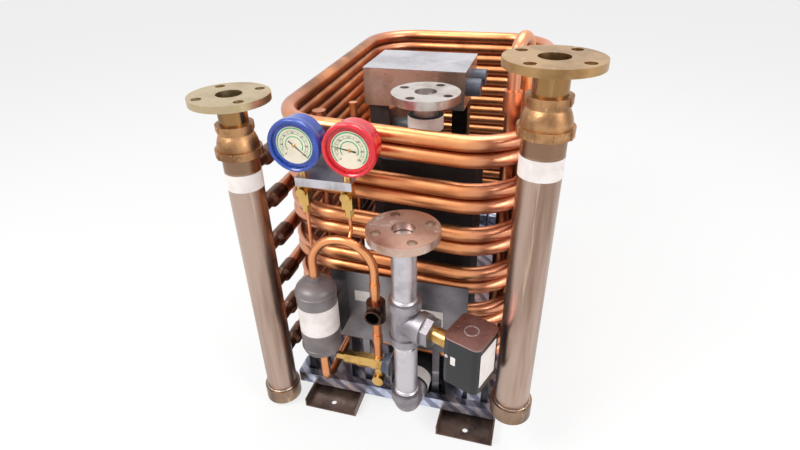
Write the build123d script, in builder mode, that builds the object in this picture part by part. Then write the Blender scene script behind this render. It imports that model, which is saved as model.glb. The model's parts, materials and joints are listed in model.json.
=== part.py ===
from build123d import *
import os

os.makedirs("parts", exist_ok=True)

# Water-cooled marine chiller. Millimetres, +Z up, floor at Z = 0, front towards -Y.
# The origin is the middle of the four floor bolts.

# Feet: two wide channels that lie web down and carry the tray
foot_width = 111.0
foot_lip_height = 20.0
foot_thickness = 3.0
foot_length = 875.0
foot_hole_spacing_x = 279.4
foot_hole_spacing_y = 832.0
foot_hole_diameter = 11.0

# Open tray on the feet, with a lip turned inwards round its rim
tray_width = 424.0
tray_length = 782.0
tray_height = 26.0
tray_thickness = 2.5
tray_lip = 16.0
tray_corner = 5.0
tray_front_offset = 36.0

# Coil of six circuits, each three turns of tube stacked one above the other
coil_width = 449.0
coil_depth = 682.0
bend_radius = 111.0
tube_diameter = 27.5
turn_gap = 0.35
turns_per_circuit = 3
circuit_count = 6
lowest_inlet_z = 118.0
front_rise_share = 0.42
left_rise_share = 0.43
right_rise_share = 0.15

# Places in plan, from the middle of the floor bolts
centre_x = -16.2
manifold_line_y = -427.5
coil_front_offset = 86.0
manifold_spacing = 473.8
manifold_skew = 9.45

# Water manifolds: tube, bottom cap, bronze reducer, nipple and flange
manifold_diameter = 60.3
manifold_wall = 3.0
cap_diameter = 72.0
cap_height = 38.0
cap_chamfer = 7.0
cap_floor = 5.0
nipple_diameter = 46.5
nipple_wall = 4.0
nipple_length = 35.0
reducer_height = 52.6
reducer_band_diameter = 61.0
reducer_waist_diameter = 55.0
reducer_belly_diameter = 68.0
reducer_foot_diameter = 76.0
reducer_foot_height = 12.5
reducer_belly_height = 24.0
reducer_top_band_height = 9.5
water_in_top_z = 660.2
water_out_top_z = 741.0
water_in_bottom_z = 2.0
water_out_bottom_z = 107.0

# Bronze flanges on the manifolds
bronze_flange_diameter = 127.0
bronze_flange_thickness = 11.1
bronze_flange_bore = 41.0
bronze_bolt_circle = 98.4
bronze_bolt_hole = 15.9
water_in_bolt_angle = 47.0
water_out_bolt_angle = 57.0

# Stainless flanges of the chilled water pipes
steel_flange_diameter = 117.5
steel_flange_thickness = 14.5
steel_flange_bore = 38.0
steel_bolt_circle = 88.9
steel_bolt_hole = 15.9
pipe_diameter = 42.2
pipe_wall = 3.6
flange_bolt_count = 4

# Clearance between curved pieces that meet
seat_gap = 0.3

# Chilled water return, inside the coil, in a foam sleeve
return_x = 37.0
return_y = 164.5
return_top_z = 634.7
return_bolt_angle = 68.0
sleeve_diameter = 61.0
sleeve_top_z = 596.0

# Chilled water supply, in front of the coil
supply_x = 45.0
supply_y = -19.5
supply_top_z = 476.3
supply_bolt_angle = 32.0
tee_top_z = 338.0
tee_bottom_z = 248.0
tee_body_diameter = 50.0
tee_band_diameter = 57.0
tee_band_height = 15.0
tee_branch_z = 292.0
tee_branch_reach = 44.0
tee_branch_angle = -21.0
elbow_top_z = 126.0
elbow_collar_height = 18.0
elbow_bend_radius = 26.5

# Flow switch on the branch of the tee
bushing_across_flats = 46.0
bushing_length = 15.0
switch_fitting_diameter = 28.0
switch_fitting_length = 29.0
switch_width = 67.0
switch_depth = 72.0
switch_shift = 14.0
switch_bottom_z = 224.0
switch_top_z = 320.0
switch_cover_thickness = 3.0
switch_corner = 12.0

# Tube connectors between the coil and the manifolds
connector_nipple_diameter = 21.0
connector_nipple_length = 15.0
connector_cone_length = 8.0
connector_diameter = 32.0
connector_length = 61.0

# Saddles that stand on the tray and carry the lowest turn
saddle_thickness = 5.0
saddle_width = 46.0
saddle_spacing = 200.0
corner_saddle_foot = 56.0
corner_saddle_top = 42.0
corner_saddle_round = 10.0
corner_saddle_notch = 14.0
corner_saddle_notch_rise = 44.0
corner_saddle_setback = 4.0

# Plate in front of the coil
plate_thickness = 2.0
plate_front_y = 60.0
plate_left = -122.0
plate_right = 141.0
plate_bottom_z = 153.0
plate_top_z = 316.0
plate_leg_width = 14.0
plate_leg_left = -60.0
plate_leg_right = 84.0
plate_foot_length = 36.0
ear_x = 12.0
ear_front_y = -12.0
ear_bottom_z = 118.0
ear_top_z = 184.0

# Filter drier and liquid line
drier_x = -126.0
drier_y = -2.0
drier_diameter = 76.0
drier_bottom_z = 166.0
drier_top_z = 335.0
drier_dome = 13.0
drier_neck_diameter = 24.0
drier_neck_height = 8.0
drier_bracket_width = 70.0
drier_bracket_bottom_z = 205.0
drier_bracket_top_z = 292.0
liquid_tube_diameter = 15.9
liquid_socket_diameter = 18.5
liquid_socket_length = 20.0
liquid_bend_z = 370.0
liquid_drop_x = -13.0
sight_glass_body_diameter = 34.0
sight_glass_body_height = 40.0
sight_eye_z = 287.0
sight_eye_diameter = 30.0
sight_eye_reach = 23.0
sight_lens_diameter = 24.0
sight_lens_thickness = 2.0
drain_z = 80.0
drain_bend_radius = 30.0

# Service valve and its bulkhead fitting below the sight glass
valve_axis_z = 160.0
valve_left_x = -96.0
valve_steps = ((16.0, 14.0), (27.0, 22.5), (4.0, 27.0), (45.0, 25.0))
valve_inlet_diameter = 20.0
valve_inlet_height = 18.0
valve_outlet_diameter = 19.0
valve_outlet_bottom_z = 113.0
outlet_end_diameter = 22.0
outlet_end_reach = 15.0
bulkhead_nut_across_flats = 34.0
bulkhead_washer_diameter = 44.0
bulkhead_washer_thickness = 6.0

# Gauges on their bracket
gauge_diameter = 88.0
gauge_case_diameter = 80.0
gauge_front_y = -5.0
gauge_ring_depth = 16.0
gauge_depth = 46.0
gauge_recess_diameter = 74.0
gauge_recess_depth = 9.0
gauge_disc_thickness = 1.5
low_gauge_x = -134.0
high_gauge_x = -43.0
gauge_z = 587.5
bracket_left = -142.0
bracket_right = -45.0
bracket_top_z = 531.0
bracket_front_y = 4.0
bracket_back_y = 60.0
bracket_lip = 15.0
bracket_thickness = 2.0
bracket_back_height = 52.0
bracket_clip_width = 16.0
bracket_clip_height = 20.0
gauge_stem_y = 18.0
low_valve_x = -133.5
high_valve_x = -57.0
gauge_stem_diameter = 13.0
gauge_valve_width = 18.0
gauge_valve_height = 50.0
gauge_valve_knob_diameter = 17.0
gauge_valve_knob_length = 8.0
gauge_nut_diameter = 14.0
gauge_nut_height = 15.0
capillary_diameter = 6.4
capillary_bend_radius = 10.0
low_capillary_end = (-126.0, -2.0, 356.0)
high_capillary_end = (-57.0, -2.0, 417.0)
low_capillary_bend_z = 356.0
high_capillary_bend_z = 434.0

# Junction box on two angle posts
box_left = -122.0
box_front_y = 303.0
box_width = 203.0
box_length = 152.0
box_bottom_z = 558.0
box_top_z = 633.0
box_wall = 2.0
lid_overlap = 2.0
lid_thickness = 2.0
post_leg = 40.0
post_thickness = 4.0
post_inset = 8.0
connector_body_diameter = 34.0
connector_body_length = 26.0

# Compressor and evaporator inside the coil
compressor_x = -112.0
compressor_y = 597.0
compressor_diameter = 165.0
compressor_height = 425.0
compressor_dome = 45.0
evaporator_left = -40.0
evaporator_front_y = 130.0
evaporator_width = 170.0
evaporator_depth = 150.0
evaporator_top_z = 520.0
evaporator_edge = 15.0

# Refrigerant risers inside the coil
riser_diameter = 22.0
riser_x = 178.0
riser_y = 200.0
riser_step_x = 17.0
riser_step_y = 65.0
riser_bend_z = 680.0
riser_coupling_diameter = 31.0
riser_coupling_bottom_z = 600.0
riser_coupling_top_z = 635.0
stub_x = -178.0
stub_y = 200.0
stub_top_z = 576.0
stub_cap_diameter = 26.0
stub_cap_height = 20.0
port_x = -108.0
port_top_z = 596.0
port_tube_diameter = 10.0
port_boot_diameter = 15.0
port_boot_height = 24.0

# Values worked out from those above
turn_pitch = tube_diameter + turn_gap
circuit_pitch = turns_per_circuit * turn_pitch
tray_bottom_z = foot_lip_height
tray_top_z = tray_bottom_z + tray_height
tray_floor_z = tray_bottom_z + tray_thickness
coil_front_y = manifold_line_y + coil_front_offset
coil_rear_y = coil_front_y + coil_depth
coil_left_x = centre_x - coil_width / 2
coil_right_x = centre_x + coil_width / 2
manifold_radius = manifold_diameter / 2
connector_offset = (manifold_spacing - coil_width) / 2
connector_reach = connector_length + (manifold_radius**2 - connector_offset**2) ** 0.5
tray_front_y = manifold_line_y + tray_front_offset
in_x = centre_x - manifold_spacing / 2
out_x = centre_x + manifold_spacing / 2
in_y = manifold_line_y + manifold_skew
out_y = manifold_line_y - manifold_skew
back_x = centre_x + return_x
back_y = manifold_line_y + return_y
feed_x = centre_x + supply_x
feed_y = manifold_line_y + supply_y


def save(piece, name):
    """Label a finished piece and write it as one STEP file."""
    piece.part.label = name
    export_step(piece.part, f"parts/{name}.step")


# Feet
def foot_channel(x):
    with BuildPart() as foot:
        with BuildSketch(Plane.XZ.offset(foot_length / 2)):
            with Locations((x, foot_lip_height / 2)):
                Rectangle(foot_width, foot_lip_height)
            with Locations((x, foot_lip_height / 2 + foot_thickness)):
                Rectangle(foot_width - 2 * foot_thickness, foot_lip_height, mode=Mode.SUBTRACT)
        extrude(amount=-foot_length)
        with Locations((x, 0, foot_thickness)):
            with GridLocations(foot_width, foot_hole_spacing_y, 1, 2):
                Hole(foot_hole_diameter / 2, depth=foot_thickness)
    return foot


left_foot_x = -foot_hole_spacing_x / 2
right_foot_x = foot_hole_spacing_x / 2
foot_left = foot_channel(left_foot_x)
save(foot_left, "foot_channel_left")
foot_right = foot_channel(right_foot_x)
save(foot_right, "foot_channel_right")

# Tray: an open pan on the feet, its rim turned inwards
with BuildPart() as base_tray:
    tray_middle = (centre_x, tray_front_y + tray_length / 2)
    with BuildSketch(Plane.XY.offset(tray_bottom_z)):
        with Locations(tray_middle):
            RectangleRounded(tray_width, tray_length, tray_corner)
    extrude(amount=tray_height)
    offset(amount=-tray_thickness, openings=base_tray.faces().sort_by(Axis.Z)[-1])
    with BuildSketch(Plane.XY.offset(tray_top_z - tray_thickness)):
        with Locations(tray_middle):
            RectangleRounded(tray_width, tray_length, tray_corner)
            Rectangle(tray_width - 2 * tray_lip, tray_length - 2 * tray_lip, mode=Mode.SUBTRACT)
    extrude(amount=tray_thickness)
save(base_tray, "base_tray")


# Coil: straight runs climb a little, corner bends are level
in_tube_start_y = in_y + connector_reach
out_tube_end_y = out_y + connector_reach
straight_front_y = coil_front_y + bend_radius
straight_rear_y = coil_rear_y - bend_radius
straight_left_x = coil_left_x + bend_radius
straight_right_x = coil_right_x - bend_radius
legs = (
    ((0, 1), (coil_left_x, straight_front_y), (coil_left_x, straight_rear_y), left_rise_share),
    ((1, 0), (straight_left_x, coil_rear_y), (straight_right_x, coil_rear_y), 0.0),
    ((0, -1), (coil_right_x, straight_rear_y), (coil_right_x, straight_front_y), right_rise_share),
    ((-1, 0), (straight_right_x, coil_front_y), (straight_left_x, coil_front_y), front_rise_share),
)

with BuildPart() as circuit:
    z = 0.0
    leg_count = turns_per_circuit * len(legs) - 1
    for number in range(leg_count):
        direction, start, end, share = legs[number % len(legs)]
        if number == 0:
            start = (coil_left_x, in_tube_start_y)
        if number == leg_count - 1:
            end = (coil_right_x, out_tube_end_y)
        end_z = z + share * turn_pitch
        for point, height in ((start, z), (end, end_z)):
            with BuildSketch(Plane((*point, height), x_dir=(0, 0, 1), z_dir=(*direction, 0))):
                Circle(tube_diameter / 2)
        loft(ruled=True)
        z = end_z
        if number < leg_count - 1:
            with BuildSketch(Plane((*end, z), x_dir=(0, 0, 1), z_dir=(*direction, 0))):
                Circle(tube_diameter / 2)
            pivot = (end[0] + direction[1] * bend_radius, end[1] - direction[0] * bend_radius, z)
            revolve(axis=Axis(pivot, (0, 0, -1)), revolution_arc=90)
    outlet_rise = z

for number in range(circuit_count):
    with BuildPart() as coil_circuit:
        with Locations((0, 0, lowest_inlet_z + number * circuit_pitch)):
            add(circuit.part)
    save(coil_circuit, f"coil_circuit_{number + 1}")


def turned(x, y, outline):
    """Upright round piece turned from an outline of (radius, height) points."""
    with BuildPart() as piece:
        with BuildSketch(Plane((x, y, 0), x_dir=(1, 0, 0), z_dir=(0, -1, 0))):
            with BuildLine():
                Polyline(*outline, close=True)
            make_face()
        revolve(axis=Axis((x, y, 0), (0, 0, 1)))
    return piece


def ring_outline(outer_diameter, inner_diameter, bottom_z, top_z):
    """Outline of a plain upright tube."""
    outer = outer_diameter / 2
    inner = inner_diameter / 2
    return ((inner, bottom_z), (outer, bottom_z), (outer, top_z), (inner, top_z))


# Manifold connectors: nipple, cone and coupling in line, cut to sit round the manifold
def connector_row(x, y, tube_x, first_z):
    with BuildPart() as row:
        cone_start = connector_reach - connector_length + connector_nipple_length
        coupling_start = cone_start + connector_cone_length
        outline = (
            (0, 0),
            (connector_nipple_diameter / 2, 0),
            (connector_nipple_diameter / 2, cone_start),
            (connector_diameter / 2, coupling_start),
            (connector_diameter / 2, connector_reach),
            (0, connector_reach),
        )
        for level in range(circuit_count):
            height = first_z + level * circuit_pitch
            with BuildSketch(Plane((tube_x, y, height))):
                with BuildLine():
                    Polyline(*outline, close=True)
                make_face()
            revolve(axis=Axis((tube_x, y, height), (0, 1, 0)))
        with BuildSketch(Plane.XY):
            with Locations((x, y)):
                Circle(manifold_radius + seat_gap)
        extrude(amount=water_out_top_z, mode=Mode.SUBTRACT)
    return row


inlet_connectors = connector_row(in_x, in_y, coil_left_x, lowest_inlet_z)
save(inlet_connectors, "inlet_connectors")
outlet_connectors = connector_row(out_x, out_y, coil_right_x, lowest_inlet_z + outlet_rise)
save(outlet_connectors, "outlet_connectors")


# Manifolds
def flange_disc(x, y, top_z, diameter, thickness, bore, bolt_circle, bolt_hole, angle):
    with BuildPart() as disc:
        with BuildSketch(Plane.XY.offset(top_z - thickness)):
            with Locations((x, y)):
                Circle(diameter / 2)
                Circle(bore / 2, mode=Mode.SUBTRACT)
                with PolarLocations(bolt_circle / 2, flange_bolt_count, start_angle=angle):
                    Circle(bolt_hole / 2, mode=Mode.SUBTRACT)
        extrude(amount=thickness)
    return disc


def manifold(x, y, bottom_z, top_z, bolt_angle, name):
    nipple_top = top_z - bronze_flange_thickness
    nipple_bottom = nipple_top - nipple_length
    reducer_bottom = nipple_bottom - reducer_height
    cap_top = bottom_z + cap_height
    nipple_bore = nipple_diameter / 2 - nipple_wall
    tube_bore = manifold_radius - manifold_wall
    cap_radius = cap_diameter / 2
    cap_outline = (
        (0, bottom_z),
        (cap_radius - cap_chamfer, bottom_z),
        (cap_radius, bottom_z + cap_chamfer),
        (cap_radius, cap_top),
        (tube_bore, cap_top),
        (tube_bore, bottom_z + cap_floor),
        (0, bottom_z + cap_floor),
    )
    save(turned(x, y, cap_outline), f"{name}_cap")
    tube_outline = ring_outline(manifold_diameter, tube_bore * 2, cap_top, reducer_bottom)
    save(turned(x, y, tube_outline), f"{name}_manifold")
    belly_bottom = reducer_bottom + reducer_foot_height
    waist_bottom = belly_bottom + reducer_belly_height
    band_bottom = nipple_bottom - reducer_top_band_height
    with BuildPart() as reducer:
        with BuildSketch(Plane((x, y, 0), x_dir=(1, 0, 0), z_dir=(0, -1, 0))):
            with BuildLine():
                Polyline(
                    (nipple_bore, belly_bottom),
                    (tube_bore, reducer_bottom),
                    (reducer_foot_diameter / 2, reducer_bottom),
                    (reducer_foot_diameter / 2, belly_bottom),
                    (reducer_belly_diameter / 2, belly_bottom),
                )
                TangentArc(
                    (reducer_belly_diameter / 2, belly_bottom),
                    (reducer_waist_diameter / 2, waist_bottom),
                    tangent=(0, 1),
                )
                Polyline(
                    (reducer_waist_diameter / 2, waist_bottom),
                    (reducer_waist_diameter / 2, band_bottom),
                    (reducer_band_diameter / 2, band_bottom),
                    (reducer_band_diameter / 2, nipple_bottom),
                    (nipple_bore, nipple_bottom),
                    (nipple_bore, belly_bottom),
                )
            make_face()
        revolve(axis=Axis((x, y, 0), (0, 0, 1)))
    save(reducer, f"{name}_reducer")
    nipple_outline = ring_outline(nipple_diameter, nipple_bore * 2, nipple_bottom, nipple_top)
    save(turned(x, y, nipple_outline), f"{name}_nipple")
    flange = flange_disc(
        x,
        y,
        top_z,
        bronze_flange_diameter,
        bronze_flange_thickness,
        bronze_flange_bore,
        bronze_bolt_circle,
        bronze_bolt_hole,
        bolt_angle,
    )
    save(flange, f"{name}_flange")


manifold(in_x, in_y, water_in_bottom_z, water_in_top_z, water_in_bolt_angle, "water_in")
manifold(out_x, out_y, water_out_bottom_z, water_out_top_z, water_out_bolt_angle, "water_out")

# Chilled water return: flange, pipe and foam sleeve down to the evaporator
pipe_bore = pipe_diameter - 2 * pipe_wall
return_flange = flange_disc(
    back_x,
    back_y,
    return_top_z,
    steel_flange_diameter,
    steel_flange_thickness,
    steel_flange_bore,
    steel_bolt_circle,
    steel_bolt_hole,
    return_bolt_angle,
)
save(return_flange, "return_flange")
return_pipe_top = return_top_z - steel_flange_thickness
return_outline = ring_outline(pipe_diameter, pipe_bore, evaporator_top_z, return_pipe_top)
return_pipe = turned(back_x, back_y, return_outline)
save(return_pipe, "return_pipe")
sleeve_bore = pipe_diameter + 2 * seat_gap
sleeve_outline = ring_outline(sleeve_diameter, sleeve_bore, evaporator_top_z, sleeve_top_z)
return_sleeve = turned(back_x, back_y, sleeve_outline)
save(return_sleeve, "return_sleeve")

# Chilled water supply: flange, pipe, tee, lower pipe, elbow and foam covered tail
supply_flange = flange_disc(
    feed_x,
    feed_y,
    supply_top_z,
    steel_flange_diameter,
    steel_flange_thickness,
    steel_flange_bore,
    steel_bolt_circle,
    steel_bolt_hole,
    supply_bolt_angle,
)
save(supply_flange, "supply_flange")
supply_pipe_top = supply_top_z - steel_flange_thickness
supply_pipe = turned(feed_x, feed_y, ring_outline(pipe_diameter, pipe_bore, tee_top_z, supply_pipe_top))
save(supply_pipe, "supply_pipe")
branch_way = Vector(1, 0, 0).rotate(Axis.Z, tee_branch_angle)
branch_origin = Vector(feed_x, feed_y, tee_branch_z)


def branch_plane(reach):
    """Upright plane across the branch of the tee at a distance from its middle."""
    return Plane(branch_origin + branch_way * reach, x_dir=(0, 0, 1), z_dir=branch_way)


with BuildPart() as supply_tee:
    with BuildSketch(Plane.XY.offset(tee_bottom_z)):
        with Locations((feed_x, feed_y)):
            Circle(tee_body_diameter / 2)
    extrude(amount=tee_top_z - tee_bottom_z)
    for band_z in (tee_bottom_z, tee_top_z - tee_band_height):
        with BuildSketch(Plane.XY.offset(band_z)):
            with Locations((feed_x, feed_y)):
                Circle(tee_band_diameter / 2)
        extrude(amount=tee_band_height)
    with BuildSketch(branch_plane(0)):
        Circle(tee_body_diameter / 2)
    extrude(amount=tee_branch_reach)
    with BuildSketch(branch_plane(tee_branch_reach - tee_band_height)):
        Circle(tee_band_diameter / 2)
    extrude(amount=tee_band_height)
    with BuildSketch(Plane.XY.offset(tee_bottom_z)):
        with Locations((feed_x, feed_y)):
            Circle(pipe_bore / 2)
    extrude(amount=tee_top_z - tee_bottom_z, mode=Mode.SUBTRACT)
save(supply_tee, "supply_tee")
lower_pipe = turned(feed_x, feed_y, ring_outline(pipe_diameter, pipe_bore, elbow_top_z, tee_bottom_z))
save(lower_pipe, "supply_lower_pipe")
bend_top_z = elbow_top_z - elbow_collar_height
tail_z = bend_top_z - elbow_bend_radius
tail_start_y = feed_y + elbow_bend_radius + elbow_collar_height
with BuildPart() as supply_elbow:
    with BuildSketch(Plane.XY.offset(bend_top_z)):
        with Locations((feed_x, feed_y)):
            Circle(tee_body_diameter / 2)
    revolve(axis=Axis((feed_x, feed_y + elbow_bend_radius, bend_top_z), (1, 0, 0)), revolution_arc=90)
    with BuildSketch(Plane.XY.offset(bend_top_z)):
        with Locations((feed_x, feed_y)):
            Circle(tee_band_diameter / 2)
    extrude(amount=elbow_collar_height)
    with BuildSketch(Plane((feed_x, tail_start_y, tail_z), x_dir=(1, 0, 0), z_dir=(0, -1, 0))):
        Circle(tee_band_diameter / 2)
    extrude(amount=elbow_collar_height)
save(supply_elbow, "supply_elbow")
evaporator_front = manifold_line_y + evaporator_front_y
with BuildPart() as supply_tail:
    with BuildSketch(Plane((feed_x, tail_start_y, tail_z), x_dir=(1, 0, 0), z_dir=(0, 1, 0))):
        Circle(sleeve_diameter / 2)
    extrude(amount=evaporator_front - tail_start_y)
save(supply_tail, "supply_tail")

# Flow switch: hexagon bushing, brass fitting, box and cover
with BuildPart() as tee_bushing:
    with BuildSketch(branch_plane(tee_branch_reach)):
        RegularPolygon(bushing_across_flats / 2, side_count=6, major_radius=False)
    extrude(amount=bushing_length)
save(tee_bushing, "tee_bushing")
fitting_reach = tee_branch_reach + bushing_length
with BuildPart() as flow_switch_fitting:
    with BuildSketch(branch_plane(fitting_reach)):
        Circle(switch_fitting_diameter / 2)
    extrude(amount=switch_fitting_length)
save(flow_switch_fitting, "flow_switch_fitting")
switch_reach = fitting_reach + switch_fitting_length + switch_width / 2
switch_middle = branch_origin + branch_way * switch_reach
switch_base_point = (switch_middle.X, switch_middle.Y, switch_bottom_z)
switch_plane = Plane(switch_base_point, x_dir=branch_way, z_dir=(0, 0, 1))
switch_body_height = switch_top_z - switch_bottom_z - switch_cover_thickness
with BuildPart() as flow_switch_body:
    with BuildSketch(switch_plane):
        with Locations((0, switch_shift)):
            RectangleRounded(switch_width, switch_depth, switch_corner)
    extrude(amount=switch_body_height)
save(flow_switch_body, "flow_switch_body")
with BuildPart() as flow_switch_cover:
    with BuildSketch(switch_plane.offset(switch_body_height)):
        with Locations((0, switch_shift)):
            RectangleRounded(switch_width, switch_depth, switch_corner)
    extrude(amount=switch_cover_thickness)
save(flow_switch_cover, "flow_switch_cover")

# Saddles: notched plates under the lowest turn, and two arched brackets at the front corners
lap_rise = (left_rise_share + right_rise_share) * turn_pitch
front_run = coil_width - 2 * bend_radius
front_slope = front_rise_share * turn_pitch / front_run


def front_tube_z(x):
    """Height of the lowest front tube's middle at x."""
    return lowest_inlet_z + lap_rise + (coil_right_x - bend_radius - x) * front_slope


rear_tube_z = lowest_inlet_z + left_rise_share * turn_pitch
saddle_reach = (saddle_width - tube_diameter) / 2
corner_top_z = lowest_inlet_z - connector_diameter / 2 - seat_gap
corner_saddle_y = tray_front_y + tray_lip + corner_saddle_setback
with BuildPart() as coil_saddles:
    for side in (-1, 1):
        x = centre_x + side * saddle_spacing / 2
        front_saddle = (coil_front_y, coil_front_y + saddle_reach, front_tube_z(x))
        rear_saddle = (coil_rear_y, coil_rear_y - saddle_reach, rear_tube_z)
        for tube_y, middle_y, tube_z in (front_saddle, rear_saddle):
            with BuildSketch(Plane((x - saddle_thickness / 2, 0, 0), x_dir=(0, 1, 0), z_dir=(1, 0, 0))):
                with Locations((middle_y, (tray_floor_z + tube_z) / 2)):
                    Rectangle(saddle_width, tube_z - tray_floor_z)
                with Locations((tube_y, tube_z)):
                    Circle(tube_diameter / 2 + 2 * seat_gap, mode=Mode.SUBTRACT)
            extrude(amount=saddle_thickness)
        outer_x = centre_x + side * (tray_width / 2 - tray_lip - corner_saddle_setback)
        with BuildSketch(Plane((0, corner_saddle_y, 0), x_dir=(1, 0, 0), z_dir=(0, -1, 0))):
            with BuildLine():
                FilletPolyline(
                    (outer_x, tray_floor_z),
                    (outer_x, corner_top_z),
                    (outer_x - side * corner_saddle_top, corner_top_z),
                    (outer_x - side * corner_saddle_foot, tray_floor_z),
                    radius=corner_saddle_round,
                )
                Line((outer_x - side * corner_saddle_foot, tray_floor_z), (outer_x, tray_floor_z))
            make_face()
            notch_x = outer_x - side * corner_saddle_foot / 2
            with Locations((notch_x, tray_floor_z + corner_saddle_notch_rise)):
                Circle(corner_saddle_notch, mode=Mode.SUBTRACT)
            with Locations((notch_x, tray_floor_z + corner_saddle_notch_rise / 2)):
                Rectangle(2 * corner_saddle_notch, corner_saddle_notch_rise, mode=Mode.SUBTRACT)
        extrude(amount=-saddle_thickness)
save(coil_saddles, "coil_saddles")

# Front plate with two bent legs and a side ear
plate_y = manifold_line_y + plate_front_y
with BuildPart() as front_plate:
    with BuildSketch(Plane((centre_x, plate_y + plate_thickness, 0), x_dir=(1, 0, 0), z_dir=(0, -1, 0))):
        with Locations(((plate_left + plate_right) / 2, (plate_bottom_z + plate_top_z) / 2)):
            Rectangle(plate_right - plate_left, plate_top_z - plate_bottom_z)
        leg_z = (tray_floor_z + plate_bottom_z) / 2
        with Locations((plate_leg_left, leg_z), (plate_leg_right, leg_z)):
            Rectangle(plate_leg_width, plate_bottom_z - tray_floor_z)
    extrude(amount=plate_thickness)
    with BuildSketch(Plane.XY.offset(tray_floor_z)):
        foot_y = plate_y + plate_foot_length / 2
        with Locations((centre_x + plate_leg_left, foot_y), (centre_x + plate_leg_right, foot_y)):
            Rectangle(plate_leg_width, plate_foot_length)
    extrude(amount=plate_thickness)
    ear_length = plate_front_y - ear_front_y
    with BuildSketch(Plane((centre_x + ear_x, 0, 0), x_dir=(0, 1, 0), z_dir=(1, 0, 0))):
        with Locations((plate_y - ear_length / 2, (ear_bottom_z + ear_top_z) / 2)):
            Rectangle(ear_length, ear_top_z - ear_bottom_z)
    extrude(amount=plate_thickness)
save(front_plate, "front_plate")

# Filter drier with its bracket
drier_cx = centre_x + drier_x
drier_cy = manifold_line_y + drier_y
with BuildPart() as drier_shell:
    with BuildSketch(Plane.XY.offset(drier_bottom_z)):
        with Locations((drier_cx, drier_cy)):
            Circle(drier_diameter / 2)
    extrude(amount=drier_top_z - drier_bottom_z)
    fillet(drier_shell.edges().filter_by(GeomType.CIRCLE), radius=drier_dome)
    with BuildSketch(Plane.XY.offset(drier_top_z)):
        with Locations((drier_cx, drier_cy)):
            Circle(drier_neck_diameter / 2)
    extrude(amount=drier_neck_height)
save(drier_shell, "drier_shell")
with BuildPart() as drier_bracket:
    with BuildSketch(Plane.XY.offset(drier_bracket_bottom_z)):
        bracket_depth = plate_y - drier_cy
        with Locations((drier_cx + drier_bracket_width / 4, drier_cy + bracket_depth / 2)):
            Rectangle(drier_bracket_width / 2, bracket_depth)
        with Locations((drier_cx, drier_cy)):
            Circle(drier_diameter / 2 + seat_gap, mode=Mode.SUBTRACT)
    extrude(amount=drier_bracket_top_z - drier_bracket_bottom_z)
save(drier_bracket, "drier_bracket")

# Liquid line: arch from the drier to the sight glass, and the drier's lower tube
drop_x = centre_x + liquid_drop_x
arch_radius = (drop_x - drier_cx) / 2
sight_glass_top_z = sight_eye_z + sight_glass_body_height / 2
sight_glass_bottom_z = sight_eye_z - sight_glass_body_height / 2
valve_inlet_top_z = valve_axis_z + valve_inlet_height
with BuildPart() as liquid_line:
    with BuildSketch(Plane.XY.offset(drier_top_z + drier_neck_height)):
        with Locations((drier_cx, drier_cy)):
            Circle(liquid_tube_diameter / 2)
    extrude(amount=liquid_bend_z - drier_top_z - drier_neck_height)
    with BuildSketch(Plane.XY.offset(liquid_bend_z)):
        with Locations((drier_cx, drier_cy)):
            Circle(liquid_tube_diameter / 2)
    revolve(axis=Axis((drier_cx + arch_radius, drier_cy, liquid_bend_z), (0, 1, 0)), revolution_arc=180)
    for bottom_z, top_z in ((sight_glass_top_z, liquid_bend_z), (valve_inlet_top_z, sight_glass_bottom_z)):
        with BuildSketch(Plane.XY.offset(bottom_z)):
            with Locations((drop_x, drier_cy)):
                Circle(liquid_tube_diameter / 2)
        extrude(amount=top_z - bottom_z)
        with BuildSketch(Plane.XY.offset((bottom_z + top_z - liquid_socket_length) / 2)):
            with Locations((drop_x, drier_cy)):
                Circle(liquid_socket_diameter / 2)
        extrude(amount=liquid_socket_length)
save(liquid_line, "liquid_line")

compressor_cx = centre_x + compressor_x
compressor_cy = manifold_line_y + compressor_y
drain_bend_z = drain_z + drain_bend_radius
drain_bend_y = drier_cy + drain_bend_radius
with BuildPart() as drier_inlet_line:
    with BuildSketch(Plane.XY.offset(drier_bottom_z)):
        with Locations((drier_cx, drier_cy)):
            Circle(liquid_tube_diameter / 2)
    extrude(amount=drain_bend_z - drier_bottom_z)
    with BuildSketch(Plane.XY.offset(drain_bend_z)):
        with Locations((drier_cx, drier_cy)):
            Circle(liquid_tube_diameter / 2)
    revolve(axis=Axis((drier_cx, drain_bend_y, drain_bend_z), (1, 0, 0)), revolution_arc=90)
    with BuildSketch(Plane((drier_cx, drain_bend_y, drain_z), x_dir=(1, 0, 0), z_dir=(0, 1, 0))):
        Circle(liquid_tube_diameter / 2)
    extrude(amount=compressor_cy - drain_bend_y)
    with BuildSketch(Plane.XY.offset(tray_floor_z)):
        with Locations((compressor_cx, compressor_cy)):
            Circle(compressor_diameter / 2 + seat_gap)
    extrude(amount=compressor_height, mode=Mode.SUBTRACT)
save(drier_inlet_line, "drier_inlet_line")

# Sight glass
eye_plane = Plane((drop_x, drier_cy, sight_eye_z), x_dir=(1, 0, 0), z_dir=(0, -1, 0))
with BuildPart() as sight_glass:
    with BuildSketch(Plane.XY.offset(sight_glass_bottom_z)):
        with Locations((drop_x, drier_cy)):
            Circle(sight_glass_body_diameter / 2)
    extrude(amount=sight_glass_body_height)
    with BuildSketch(eye_plane):
        Circle(sight_eye_diameter / 2)
    extrude(amount=sight_eye_reach)
    with BuildSketch(eye_plane.offset(sight_eye_reach)):
        Circle(sight_lens_diameter / 2 + seat_gap)
    extrude(amount=-sight_lens_thickness, mode=Mode.SUBTRACT)
save(sight_glass, "sight_glass")
with BuildPart() as sight_lens:
    with BuildSketch(eye_plane.offset(sight_eye_reach)):
        Circle(sight_lens_diameter / 2)
    extrude(amount=-sight_lens_thickness)
save(sight_lens, "sight_lens")

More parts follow.
